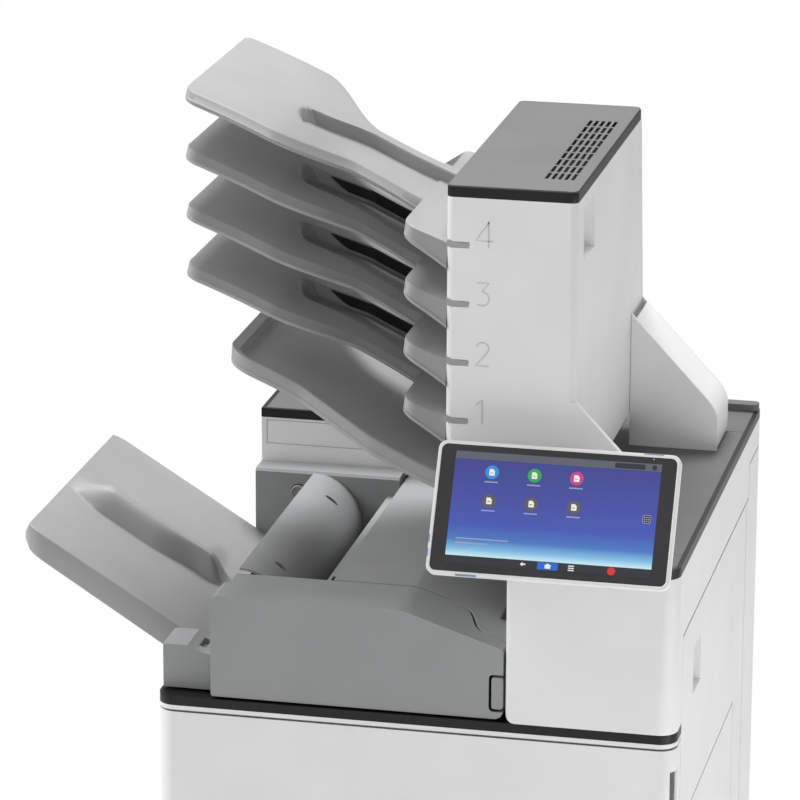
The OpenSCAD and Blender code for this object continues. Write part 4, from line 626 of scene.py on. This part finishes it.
# Finisher front: a hollow moulding whose top falls to the right, with a latch pocket
finisher = {"x0": 62.5, "x1": 394.5, "low": 521.0, "top": 639.5, "y": (3, 84), "r": 8, "kneeX": 278,
            "kneeX2": 288, "kneeZ2": 637, "slopeX": 392.5, "slopeZ": 603, "endZ": 600, "seamY": 87.6,
            "edge": 1.6, "edgeDegrees": 35}
finisherCuts = {"hollowX": 65.5, "shell": 3, "hollowY": (6, 95), "endX": (50, 73), "endY": (52, 95),
                "endZ": (500, 660), "pocketX": (378.4, 402), "pocketZ": (529.4, 572.6), "pocketR": 5,
                "pocketY": (-5, 20), "gapZ": (590, 660)}
latch = {"x": (381.2, 394.4), "z": (532.2, 569.8), "r": 3.4, "y": (3.2, 19), "edge": 1.4}
# The S-shaped finger gap, seen from above: the lid's tongue lies behind this line.
fingerGap = [(318, 85.8), (330, 82.5), (338, 77.5), (343, 72), (348, 60), (352, 49), (356, 39), (362, 31),
             (369, 28), (378, 27), (400, 26.4)]


def slopeTop(x):
    if x <= finisher["kneeX"]:
        return finisher["top"]
    if x <= finisher["kneeX2"]:
        drop = finisher["top"] - finisher["kneeZ2"]
        return finisher["top"] - drop * (x - finisher["kneeX"]) / (finisher["kneeX2"] - finisher["kneeX"])
    fall = (finisher["kneeZ2"] - finisher["slopeZ"]) / (finisher["slopeX"] - finisher["kneeX2"])
    return finisher["kneeZ2"] - (x - finisher["kneeX2"]) * fall


def finisherOutline(left, inset=0.0):
    low, top, r = finisher["low"] + inset, finisher["top"] - inset, finisher["r"] - inset
    left, x1 = left + inset, finisher["x1"] - inset
    slopeX, slopeZ = finisher["slopeX"] - inset, finisher["slopeZ"] - inset
    points = [(left + 2, low), (left, low + 2)] + arc(left + r, top - r, r, 180, 90, 9)
    points += [(finisher["kneeX"] - 6, top), (finisher["kneeX"] + 2, top - 0.5)]
    points += [(finisher["kneeX2"] - inset / 2, finisher["kneeZ2"] - inset)]
    points += [(slopeX - 3, slopeZ + 1), (slopeX + 0.6, slopeZ - 1), (x1, finisher["endZ"] - 1 - inset)]
    return points + [(x1, low + 8), (x1 - 2.7, low + 2.7), (x1 - 8, low)]


front = prism("finisherFront", "finisher", "finisherGreyABS", finisherOutline(finisher["x0"]), "y",
              *finisher["y"], replaces=("finisher_front",), slotName="grey_cover")
carved(front, [
    cutter(finisherOutline(finisherCuts["hollowX"], finisherCuts["shell"]), "y", *finisherCuts["hollowY"]),
    cutter(rectangle(finisherCuts["endX"], finisherCuts["endY"]), "z", *finisherCuts["endZ"]),
    cutter(roundRect(finisherCuts["pocketX"], finisherCuts["pocketZ"], finisherCuts["pocketR"]), "y",
           *finisherCuts["pocketY"]),
    cutter([(310, 95)] + fingerGap + [(400, 95)], "z", *finisherCuts["gapZ"])])
bevelEdges(front, finisher["edge"], 3, finisher["edgeDegrees"])
blockPiece("finisherEndWall", "finisher", "finisherGreyABS", (73, 76), (49.5, 84), (521, 630), 0.6)
# Painted shade: a black plate at the back of the latch pocket stands for its unlit depth.
blockPiece("latchPocket", "finisher", "gapBlack", (376, 391), (20, 21), (527, 575))
prism("finisherLatch", "latch", "finisherGreyABS", roundRect(latch["x"], latch["z"], latch["r"]), "y",
      *latch["y"], latch["edge"], replaces=("finisher_latch",), slotName="grey_cover")

# Lid: a bent sheet that follows the same fall, with hinge barrels at its left end
lid = {"xs": [184, 230, 272, 276, 279, 282, 286, 290, 330, 370, 391, 394.2], "y": (24, 487.4), "thick": 2.9,
       "edge": 0.9, "gap": (1.98, 2.2), "cutZ": (560, 680), "endX": (374, 420), "endY": (86.5, 520)}
barrel = {"x": 191, "z": 631.3, "rx": 5.5, "rz": 5.4, "steps": 18, "y": (finisher["seamY"], 433.7),
          "long": 12, "edge": 0.5}
cornerSlot = {"x": (180.6, 183.6), "y": ((88, 100), (474, 486)), "z": (637.5, 638.6)}
lidOutline = [(x, slopeTop(x)) for x in lid["xs"]]
lidOutline += [(x, slopeTop(x) - lid["thick"]) for x in reversed(lid["xs"])]
lidSheet = prism("finisherLid", "lid", "finisherGreyABS", lidOutline, "y", *lid["y"],
                 replaces=("finisher_lid",), slotName="grey_cover")
seam = finisher["seamY"]
tongueEdge = [(x + lid["gap"][0], y + lid["gap"][1]) for x, y in fingerGap]
carved(lidSheet, [cutter([(150, 10), (150, seam), (314, seam)] + tongueEdge + [(402, 10)], "z", *lid["cutZ"]),
                  cutter(rectangle(lid["endX"], lid["endY"]), "z", *lid["cutZ"])])
bevelEdges(lidSheet, lid["edge"], 2, finisher["edgeDegrees"])
barrelOutline = ellipse(barrel["x"], barrel["z"], barrel["rx"], barrel["rz"], barrel["steps"])
for k, y in enumerate(barrel["y"]):
    prism(f"lidBarrel{k + 1}", "lid", "finisherGreyABS", barrelOutline, "y", y, y + barrel["long"],
          barrel["edge"])
# Painted shade: black blocks stand for the dark inside of the lid's corner slots.
for k, y in enumerate(cornerSlot["y"]):
    blockPiece(f"lidCornerSlot{k + 1}", "finisher", "gapBlack", cornerSlot["x"], y, cornerSlot["z"])
print("finisher made")

# Curved exit chute with two oval holes
chute = {"x": 75, "z": 584, "outer": 61, "inner": 58, "foot": 570, "y": (87.6, 445.7), "ovalAngle": 53,
         "ovals": (137, 386), "ovalR": (9.5, 4.2), "ovalReach": (52, 66)}
chuteOutline = [(chute["x"] + chute["outer"], chute["foot"])]
chuteOutline += arc(chute["x"], chute["z"], chute["outer"], 0, 90, 30)
chuteOutline += arc(chute["x"], chute["z"], chute["inner"], 90, 0, 30)
chuteOutline += [(chute["x"] + chute["inner"], chute["foot"])]
chuteShell = prism("exitChute", "finisher", "finisherGreyABS", chuteOutline, "y", *chute["y"],
                   replaces=("exit_chute",), slotName="grey_cover")


def ovalCutter(y):
    # Points straight out of the chute's round face.
    a = math.radians(chute["ovalAngle"])
    outward, along = (math.cos(a), math.sin(a)), (-math.sin(a), math.cos(a))
    oval = ellipse(0, 0, *chute["ovalR"], 24)
    return closedShell("cutter", [[
        (chute["x"] + d * outward[0] + p * along[0], y + q, chute["z"] + d * outward[1] + p * along[1])
        for p, q in oval] for d in chute["ovalReach"]])


carved(chuteShell, [ovalCutter(y) for y in chute["ovals"]])
sharpen(chuteShell.data, 30)
# Painted shade: a black block inside the chute stands for the dark under its curve.
blockPiece("chuteLining", "finisher", "gapBlack", (84, 90), (96, 438), (572, 634), 0.5)

# Knob on the finisher's back wall, turned about a line along y: steps are (y, radius)
knob = {"centre": (56.3, 619.6), "steps": 40, "ring": [(446.4, 10.2), (445.6, 10.2)],
        "body": [(446.2, 9.2), (442.6, 9.2), (441.8, 8.6), (441.5, 7.6), (442.0, 6.8), (442.2, 2)]}


def turned(name, material, steps):
    rings = [[(a, y, b) for a, b in ellipse(*knob["centre"], r, r, knob["steps"])] for y, r in steps]
    makePiece(name, "finisher", material, rings)


# Painted shade: a thin black disc behind the knob shows as a dark ring of shade around it.
turned("backWallKnobRing", "gapBlack", knob["ring"])
turned("backWallKnob", "finisherGreyABS", knob["body"])

# Touch panel: u runs to the right, v up the glass and w out of it
panel = {"x": 450, "y": -10, "z": 767.6, "lean": 30, "w": 267, "h": 149, "r": 10, "glass": (-2.9, -0.6),
         "rimSteps": [(0, 0, -9.0), (0, 0, -1.4), (0.5, 0.5, -0.4), (1.6, 1.6, 0.0), (3.4, 3, 0.0),
                      (4, 3, -0.5), (4, 3, -2.9)]}
boss = {"y": 17.71, "z": 751.6, "r": 8, "steps": 24, "x": (423.5, 476.5), "edge": 0.6}
lean = math.radians(panel["lean"])
halfW, halfH = panel["w"] / 2, panel["h"] / 2


def onPanel(u, v, w):
    y = panel["y"] + v * math.sin(lean) - w * math.cos(lean)
    return (panel["x"] + u, y, panel["z"] + v * math.cos(lean) + w * math.sin(lean))


def panelOutline(inset, cornerCut):
    return roundRect((inset - halfW, halfW - inset), (inset - halfH, halfH - inset), panel["r"] - cornerCut)


def panelPlate(name, material, outline, low, high, bevelMm=0.0, **facts):
    rings = [[onPanel(u, v, w) for u, v in outline] for w in (low, high)]
    makePiece(name, "panel", material, rings, bevelMm, **facts)


rim = [[onPanel(u, v, w) for u, v in panelOutline(inset, cornerCut)]
       for inset, cornerCut, w in panel["rimSteps"]]
makePiece("panelRim", "panel", "panelRimABS", rim, replaces=("panel_housing",), slotName="white_cover",
          smoothAt=30)
panelPlate("panelBack", "whiteABS", panelOutline(12, 6), -18, -8.5, 1.5)
panelPlate("panelKnuckle", "whiteABS", roundRect((-26.6, 26.6), (-8, 8), 3), -32, -17, 1.0)
bossOutline = ellipse(boss["y"], boss["z"], boss["r"], boss["r"], boss["steps"])
prism("panelPivotBoss", "panel", "whiteABS", bossOutline, "x", *boss["x"], boss["edge"])
panelPlate("panelGlass", "bezelGlass", panelOutline(4, 3), *panel["glass"], 0.3, replaces=("panel_screen",),
           slotName="screen")

# The display's picture: pale cyan at the foot, violet in the middle and blue at the top
picture = {"foot": -52, "head": 57, "glow": 0.24, "rough": 0.25,
           "stops": [(0.0, "#c9ecf6"), (0.06, "#86c3e6"), (0.16, "#4f7cc4"), (0.32, "#4b5cb4"),
                     (0.62, "#4a52a4"), (1.0, "#454a90")]}


def displayPicture(name):
    mat, tree, shader = newMaterial(name)
    coords = addNode(tree, "ShaderNodeTexCoord").outputs["Object"]
    height = addNode(tree, "ShaderNodeSeparateXYZ", {"Vector": coords}).outputs["Z"]
    spread = addNode(tree, "ShaderNodeMapRange", {
        "Value": height, "From Min": (panel["z"] + picture["foot"] * math.cos(lean)) / perMetre,
        "From Max": (panel["z"] + picture["head"] * math.cos(lean)) / perMetre})
    tone = addNode(tree, "ShaderNodeValToRGB", {"Fac": spread.outputs["Result"]})
    setRamp(tone, picture["stops"])
    feed(tree, shader, {"Base Color": tone.outputs["Color"], "Emission Color": tone.outputs["Color"],
                        "Emission Strength": picture["glow"], "Roughness": picture["rough"]})
    return mat


materials["screenGlow"] = displayPicture("screenGlow")
# Thin layers over the glass, in mm along w.
layers = {"image": (-0.6, -0.45), "bar": (-0.6, -0.42), "tab": (-0.42, -0.25), "onTab": (-0.25, -0.18),
          "onBar": (-0.42, -0.3), "inBar": (-0.42, -0.32), "disc": (-0.45, -0.3), "sheet": (-0.3, -0.22),
          "onSheet": (-0.22, -0.18), "caption": (-0.45, -0.38), "key": (-0.35, -0.28), "onKey": (-0.28, -0.2),
          "insert": (-4, 0.12), "lamp": (-0.6, -0.4)}
screenPlates = [
    ("screenImage", "screenGlow", [(-113.3, -52.5), (112.6, -52.5), (112.9, 55), (-113.5, 55)], "image"),
    ("screenTopBar", "barGrey", [(-113.5, 55), (112.9, 55), (113.1, 63.2), (-113.1, 63.2)], "bar"),
    ("screenFootBar", "barDark", [(-113.6, -61.6), (112.4, -62), (112.6, -52.5), (-113.3, -52.5)], "bar"),
    ("homeTab", "tabBlue", roundRect((-11.4, 11), (-61.5, -53.2), 1.2), "tab"),
    ("homeGlyph", "glyphWhite",
     [(-3, -60), (3, -60), (3, -57), (4.2, -57), (0, -54.3), (-4.2, -57), (-3, -57)], "onTab"),
    ("backGlyph", "glyphWhite", [(-30.5, -57), (-27.5, -54.6), (-27.5, -56.2), (-24.5, -56.2), (-24.5, -57.8),
                                 (-27.5, -57.8), (-27.5, -59.4)], "onBar"),
    *[(f"menuBar{k + 1}", "glyphWhite", roundRect((22.2, 28.8), (z, z + 1.2), 0.4, 3), "onBar")
      for k, z in enumerate((-60.6, -58.2, -55.8))],
    ("stopDot", "iconRed", ellipse(69.4, -57.6, 4.4, 4.4), "onBar"),
    ("sessionBox", "barDark", roundRect((62, 95), (56.2, 61.8), 1.2), "inBar"),
    ("sleepDot", "barDark", ellipse(105.2, 59, 2.8, 2.8), "inBar"),
]
icons = [(-71.5, 41.6, "iconBlue"), (-24.6, 41.2, "iconGreen"), (21.8, 41.2, "iconPink"),
         (-71.6, 9.8, "iconGrey"), (-25.0, 9.6, "iconGrey"), (21.9, 9.3, "iconGrey")]
for k, (u, v, paint) in enumerate(icons):
    fold = [(u + 0.8, v + 3.7), (u + 3.1, v + 3.7), (u + 3.1, v + 1.4)]
    screenPlates += [
        (f"iconDisc{k + 1}", paint, ellipse(u, v, 7.6, 7.6), "disc"),
        (f"iconSheet{k + 1}", "glyphWhite", roundRect((u - 3, u + 3), (v - 3.6, v + 3.6), 0.6, 3), "sheet"),
        (f"iconFold{k + 1}", paint, fold, "onSheet"),
        (f"iconLine{k + 1}", paint, roundRect((u - 1.9, u + 1.4), (v - 1.2, v - 0.4), 0.2, 2), "onSheet"),
        (f"iconCaption{k + 1}", "barPale", roundRect((u - 7.5, u + 7.5), (v - 11.6, v - 10.2), 0.5, 3),
         "caption")]
for k in range(3):
    row = roundRect((-104, -46 - 22 * k), (-34 - 5 * k, -32.6 - 5 * k), 0.5, 3)
    screenPlates.append((f"stateRow{k + 1}", "barPale", row, "caption"))
screenPlates += [("keyFrame", "barPale", roundRect((97.6, 106.8), (-2.8, 6.6), 2), "disc"),
                 ("keyField", "bezelGlass", roundRect((98.2, 106.2), (-2.2, 6.0), 1.6), "key")]
for row in range(3):
    for column in range(3):
        u, v = 99.6 + 2.3 * column, -0.5 + 2.2 * row
        key = roundRect((u - 0.55, u + 0.95), (v - 0.5, v + 0.8), 0.25, 2)
        screenPlates.append((f"keyDot{row + 1}{column + 1}", "barPale", key, "onKey"))
screenPlates += [
    ("statusTop", "statusBlue", roundRect((92, 114), (73.0, 74.6), 0.6, 3), "insert"),
    ("statusLeft1", "statusBlue", roundRect((-133.6, -132.2), (-40, -31), 0.5, 3), "insert"),
    ("statusLeft2", "statusBlue", roundRect((-133.6, -132.2), (-56, -47), 0.5, 3), "insert"),
    ("statusFoot", "statusBlue", roundRect((-100, -77), (-74.6, -73.0), 0.6, 3), "insert"),
    ("lampTop", "barPale", ellipse(103.5, 68.4, 0.8, 0.8, 16), "lamp")]
for name, paint, outline, layer in screenPlates:
    panelPlate(name, paint, outline, *layers[layer])
print("panel made")

# Engraved bin numbers, drawn as slightly proud strokes in painted shade on the tower's front face, and the
# hooks of the bin lips
numbers = {"width": 1.5, "y": (75.75, 76.4)}
numberStrokes = {
    4: [[(359.2, 1036.8), (359.2, 1066.4)], [(359.8, 1066), (345.2, 1044.6), (364.2, 1044.6)]],
    3: [[(346.4, 997.4), (360.2, 997.4), (352.2, 987.4)] + arc(352.6, 979.4, 7.8, 78, -96) + [(347, 972.6)]],
    2: [arc(353.6, 923.2, 6.8, 165, -20) + [(357.6, 917.4), (345.8, 903.4), (361.2, 903.4)]],
    1: [[(346.4, 858.6), (353.8, 864.4), (353.8, 836.6)]],
}
hook = {"y": (75.7, 78.5), "edge": 0.5,
        "outline": [(313, -2.5), (324, -2.6), (333, -2.5), (337.6, -1.6), (338.2, 0.3), (337.2, 2.2),
                    (331, 2.8), (322, 3.4), (316, 4.6), (313, 5.2)]}


def stroke(points, width):
    # Both sides of a polyline, offset by half its width.
    oneSide, otherSide = [], []
    for i, (x, z) in enumerate(points):
        x0, z0 = points[max(0, i - 1)]
        x1, z1 = points[min(len(points) - 1, i + 1)]
        length = math.hypot(x1 - x0, z1 - z0)
        dx, dz = -(z1 - z0) / length * width / 2, (x1 - x0) / length * width / 2
        oneSide.append((x + dx, z + dz))
        otherSide.append((x - dx, z - dz))
    return oneSide + otherSide[::-1]


for number, lines in numberStrokes.items():
    for k, points in enumerate(lines):
        prism(f"binNumber{number}Stroke{k + 1}", "chassis", "numberABS", stroke(points, numbers["width"]),
              "y", *numbers["y"])
for k, lip in enumerate(tray["lips"]):
    prism(f"binLipHook{k + 1}", "chassis", "lipGreyABS", [(x, lip + z) for x, z in hook["outline"]], "y",
          *hook["y"], hook["edge"])

# Rear screws: one head, set out in a grid by a node tree
screw = {"footR": 4.2, "topR": 3.4, "high": 1.8, "segments": 28, "slot": (4.6, 0.9, 0.8), "slotZ": 1.7}


def screwHead(name):
    bm = bmesh.new()
    bmesh.ops.create_cone(bm, cap_ends=True, segments=screw["segments"], radius1=screw["footR"] / perMetre,
                          radius2=screw["topR"] / perMetre, depth=screw["high"] / perMetre)
    bmesh.ops.translate(bm, verts=bm.verts, vec=(0, 0, screw["high"] / 2 / perMetre))
    for turn in (0, 90):
        slot = bmesh.ops.create_cube(bm, size=1.0)["verts"]
        bmesh.ops.scale(bm, verts=slot, vec=[side / perMetre for side in screw["slot"]])
        bmesh.ops.rotate(bm, verts=slot, cent=(0, 0, 0), matrix=Matrix.Rotation(math.radians(turn), 3, "Z"))
        bmesh.ops.translate(bm, verts=slot, vec=(0, 0, screw["slotZ"] / perMetre))
    mesh = bpy.data.meshes.new(name)
    bm.to_mesh(mesh)
    bm.free()
    head = bpy.data.objects.new(name, mesh)
    bpy.context.scene.collection.objects.link(head)
    return head


def screwGrid(name, head, spec):
    # Heads stand on the rear face in columns and rows, each turned by its own seeded angle.
    tree = bpy.data.node_groups.new(name + "Tree", "GeometryNodeTree")
    tree.interface.new_socket("Geometry", in_out="OUTPUT", socket_type="NodeSocketGeometry")
    sockets = {"Width": "Float", "Height": "Float", "Columns": "Int", "Rows": "Int", "Seed": "Int"}
    for label, kind in sockets.items():
        tree.interface.new_socket(label, in_out="INPUT", socket_type="NodeSocket" + kind)
    sizes = addNode(tree, "NodeGroupInput").outputs
    grid = addNode(tree, "GeometryNodeMeshGrid", {"Size X": sizes["Width"], "Size Y": sizes["Height"],
                                                  "Vertices X": sizes["Columns"],
                                                  "Vertices Y": sizes["Rows"]})
    angle = addNode(tree, "FunctionNodeRandomValue", {3: 3.14, "Seed": sizes["Seed"]},
                    data_type="FLOAT").outputs[1]
    turn = addNode(tree, "ShaderNodeCombineXYZ", {"Z": angle}).outputs["Vector"]
    model = addNode(tree, "GeometryNodeObjectInfo", {"Object": head}).outputs["Geometry"]
    heads = addNode(tree, "GeometryNodeInstanceOnPoints", {
        "Points": grid.outputs["Mesh"], "Instance": model, "Rotation": turn}).outputs["Instances"]
    stood = addNode(tree, "GeometryNodeTransform", {
        "Geometry": heads, "Translation": place(*spec["centre"]),
        "Rotation": (math.radians(-90), 0, 0)}).outputs["Geometry"]
    solid = addNode(tree, "GeometryNodeRealizeInstances", {"Geometry": stood}).outputs["Geometry"]
    finish = addNode(tree, "GeometryNodeSetMaterial", {"Geometry": solid, "Material": materials["zincSteel"]})
    addNode(tree, "NodeGroupOutput", {"Geometry": finish.outputs["Geometry"]})
    screws = bpy.data.objects.new(name, bpy.data.meshes.new(name))
    bpy.context.scene.collection.objects.link(screws)
    modifier = screws.modifiers.new("grid", "NODES")
    modifier.node_group = tree
    for item in tree.interface.items_tree:
        if item.in_out == "INPUT":
            modifier[item.identifier] = spec[item.name]
    mesh = bpy.data.meshes.new_from_object(screws.evaluated_get(bpy.context.evaluated_depsgraph_get()))
    mesh.name = name
    screws.modifiers.clear()
    screws.data = mesh
    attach(screws, "chassis")


screwGrids = {
    "rearScrewsUpper": {"Width": 0.54, "Height": 0.24, "Columns": 4, "Rows": 3, "Seed": 7,
                        "centre": (293.5, 621.9, 560)},
    "rearScrewsLower": {"Width": 0.54, "Height": 0.30, "Columns": 4, "Rows": 3, "Seed": 11,
                        "centre": (293.5, 621.9, 220)},
}
head = screwHead("screwHead")
for name, spec in screwGrids.items():
    screwGrid(name, head, spec)
bpy.data.objects.remove(head, do_unlink=True)
print("small hardware made")

# Camera at the photographed angle
view = {"at": (1.07609, -4.85802, 2.29797), "azimuth": 12.364, "elevation": 16.839, "roll": 0.23,
        "sensor": 36, "lens": 203.31, "far": 60}
azimuth, elevation, roll = [math.radians(view[turn]) for turn in ("azimuth", "elevation", "roll")]
flat = math.cos(elevation)
back = Vector((math.sin(azimuth) * flat, -math.cos(azimuth) * flat, math.sin(elevation)))
right = Vector((math.cos(azimuth), math.sin(azimuth), 0))
up = back.cross(right)
right, up = right * math.cos(roll) + up * math.sin(roll), up * math.cos(roll) - right * math.sin(roll)
camera = bpy.data.cameras.new("camera")
camera.sensor_width = view["sensor"]
camera.lens = view["lens"]
camera.clip_end = view["far"]
cameraObject = bpy.data.objects.new("camera", camera)
cameraObject.matrix_world = Matrix.Translation(view["at"]) @ Matrix((right, up, back)).transposed().to_4x4()
bpy.context.scene.collection.objects.link(cameraObject)
bpy.context.scene.camera = cameraObject

# Soft lamps: place, aim and size in metres, and power in watts
lamps = {
    "topSoft": {"at": (-0.1, 1.6, 4.0), "aim": (0.0, 0.05, 0.8), "size": (1.8, 1.8), "power": 140},
    "leftSoft": {"at": (-3.0, -0.6, 2.9), "aim": (-0.3, 0.0, 0.7), "size": (1.6, 1.6), "power": 80},
    "rightSoft": {"at": (1.5, -0.9, 0.05), "aim": (0.3, 0.1, 0.45), "size": (1.2, 1.0), "power": 11},
    "frontSoft": {"at": (0.6, -4.4, 1.5), "aim": (0.1, 0, 0.75), "size": (3.0, 2.4), "power": 10},
    "backSoft": {"at": (1.2, 3.6, 1.7), "aim": (-0.05, 0.1, 0.95), "size": (2.4, 1.6), "power": 7},
}
for name, spec in lamps.items():
    light = bpy.data.lights.new(name, "AREA")
    light.shape = "RECTANGLE"
    light.size, light.size_y = spec["size"]
    light.energy = spec["power"]
    lamp = bpy.data.objects.new(name, light)
    bpy.context.scene.collection.objects.link(lamp)
    aim = (Vector(spec["aim"]) - Vector(spec["at"])).to_track_quat("-Z", "Y")
    lamp.matrix_world = Matrix.Translation(spec["at"]) @ aim.to_matrix().to_4x4()

# Even light from the world, and plain white where the camera sees past the object
studio = {"white": "#ffffff", "worldLight": 0.37, "floor": "#e7e7e7", "floorRough": 0.9, "floorHalf": 9}
world = bpy.data.worlds.new("studio")
bpy.context.scene.world = world
world.use_nodes = True
tree = world.node_tree
shade = tree.nodes["Background"]
feed(tree, shade, {"Color": linear(studio["white"]), "Strength": studio["worldLight"]})
seen = addNode(tree, "ShaderNodeBackground", {"Color": linear(studio["white"]), "Strength": 1.0})
path = addNode(tree, "ShaderNodeLightPath")
choose = addNode(tree, "ShaderNodeMixShader", {
    "Fac": path.outputs["Is Camera Ray"], 1: shade.outputs["Background"], 2: seen.outputs["Background"]})
feed(tree, tree.nodes["World Output"], {"Surface": choose.outputs["Shader"]})

floorMat, tree, shader = newMaterial("paleFloor")
feed(tree, shader, {"Base Color": linear(studio["floor"]), "Roughness": studio["floorRough"]})
glow = addNode(tree, "ShaderNodeEmission", {"Strength": 1.0})
path = addNode(tree, "ShaderNodeLightPath")
choose = addNode(tree, "ShaderNodeMixShader", {
    "Fac": path.outputs["Is Camera Ray"], 1: shader.outputs["BSDF"], 2: glow.outputs["Emission"]})
feed(tree, tree.nodes["Material Output"], {"Surface": choose.outputs["Shader"]})
half = studio["floorHalf"]
floorMesh = bpy.data.meshes.new("floor")
floorMesh.from_pydata([(-half, -half, 0), (half, -half, 0), (half, half, 0), (-half, half, 0)], [],
                      [(0, 1, 2, 3)])
floorMesh.materials.append(floorMat)
floor = bpy.data.objects.new("floor", floorMesh)
bpy.context.scene.collection.objects.link(floor)
bpy.context.scene.view_settings.view_transform = "Standard"
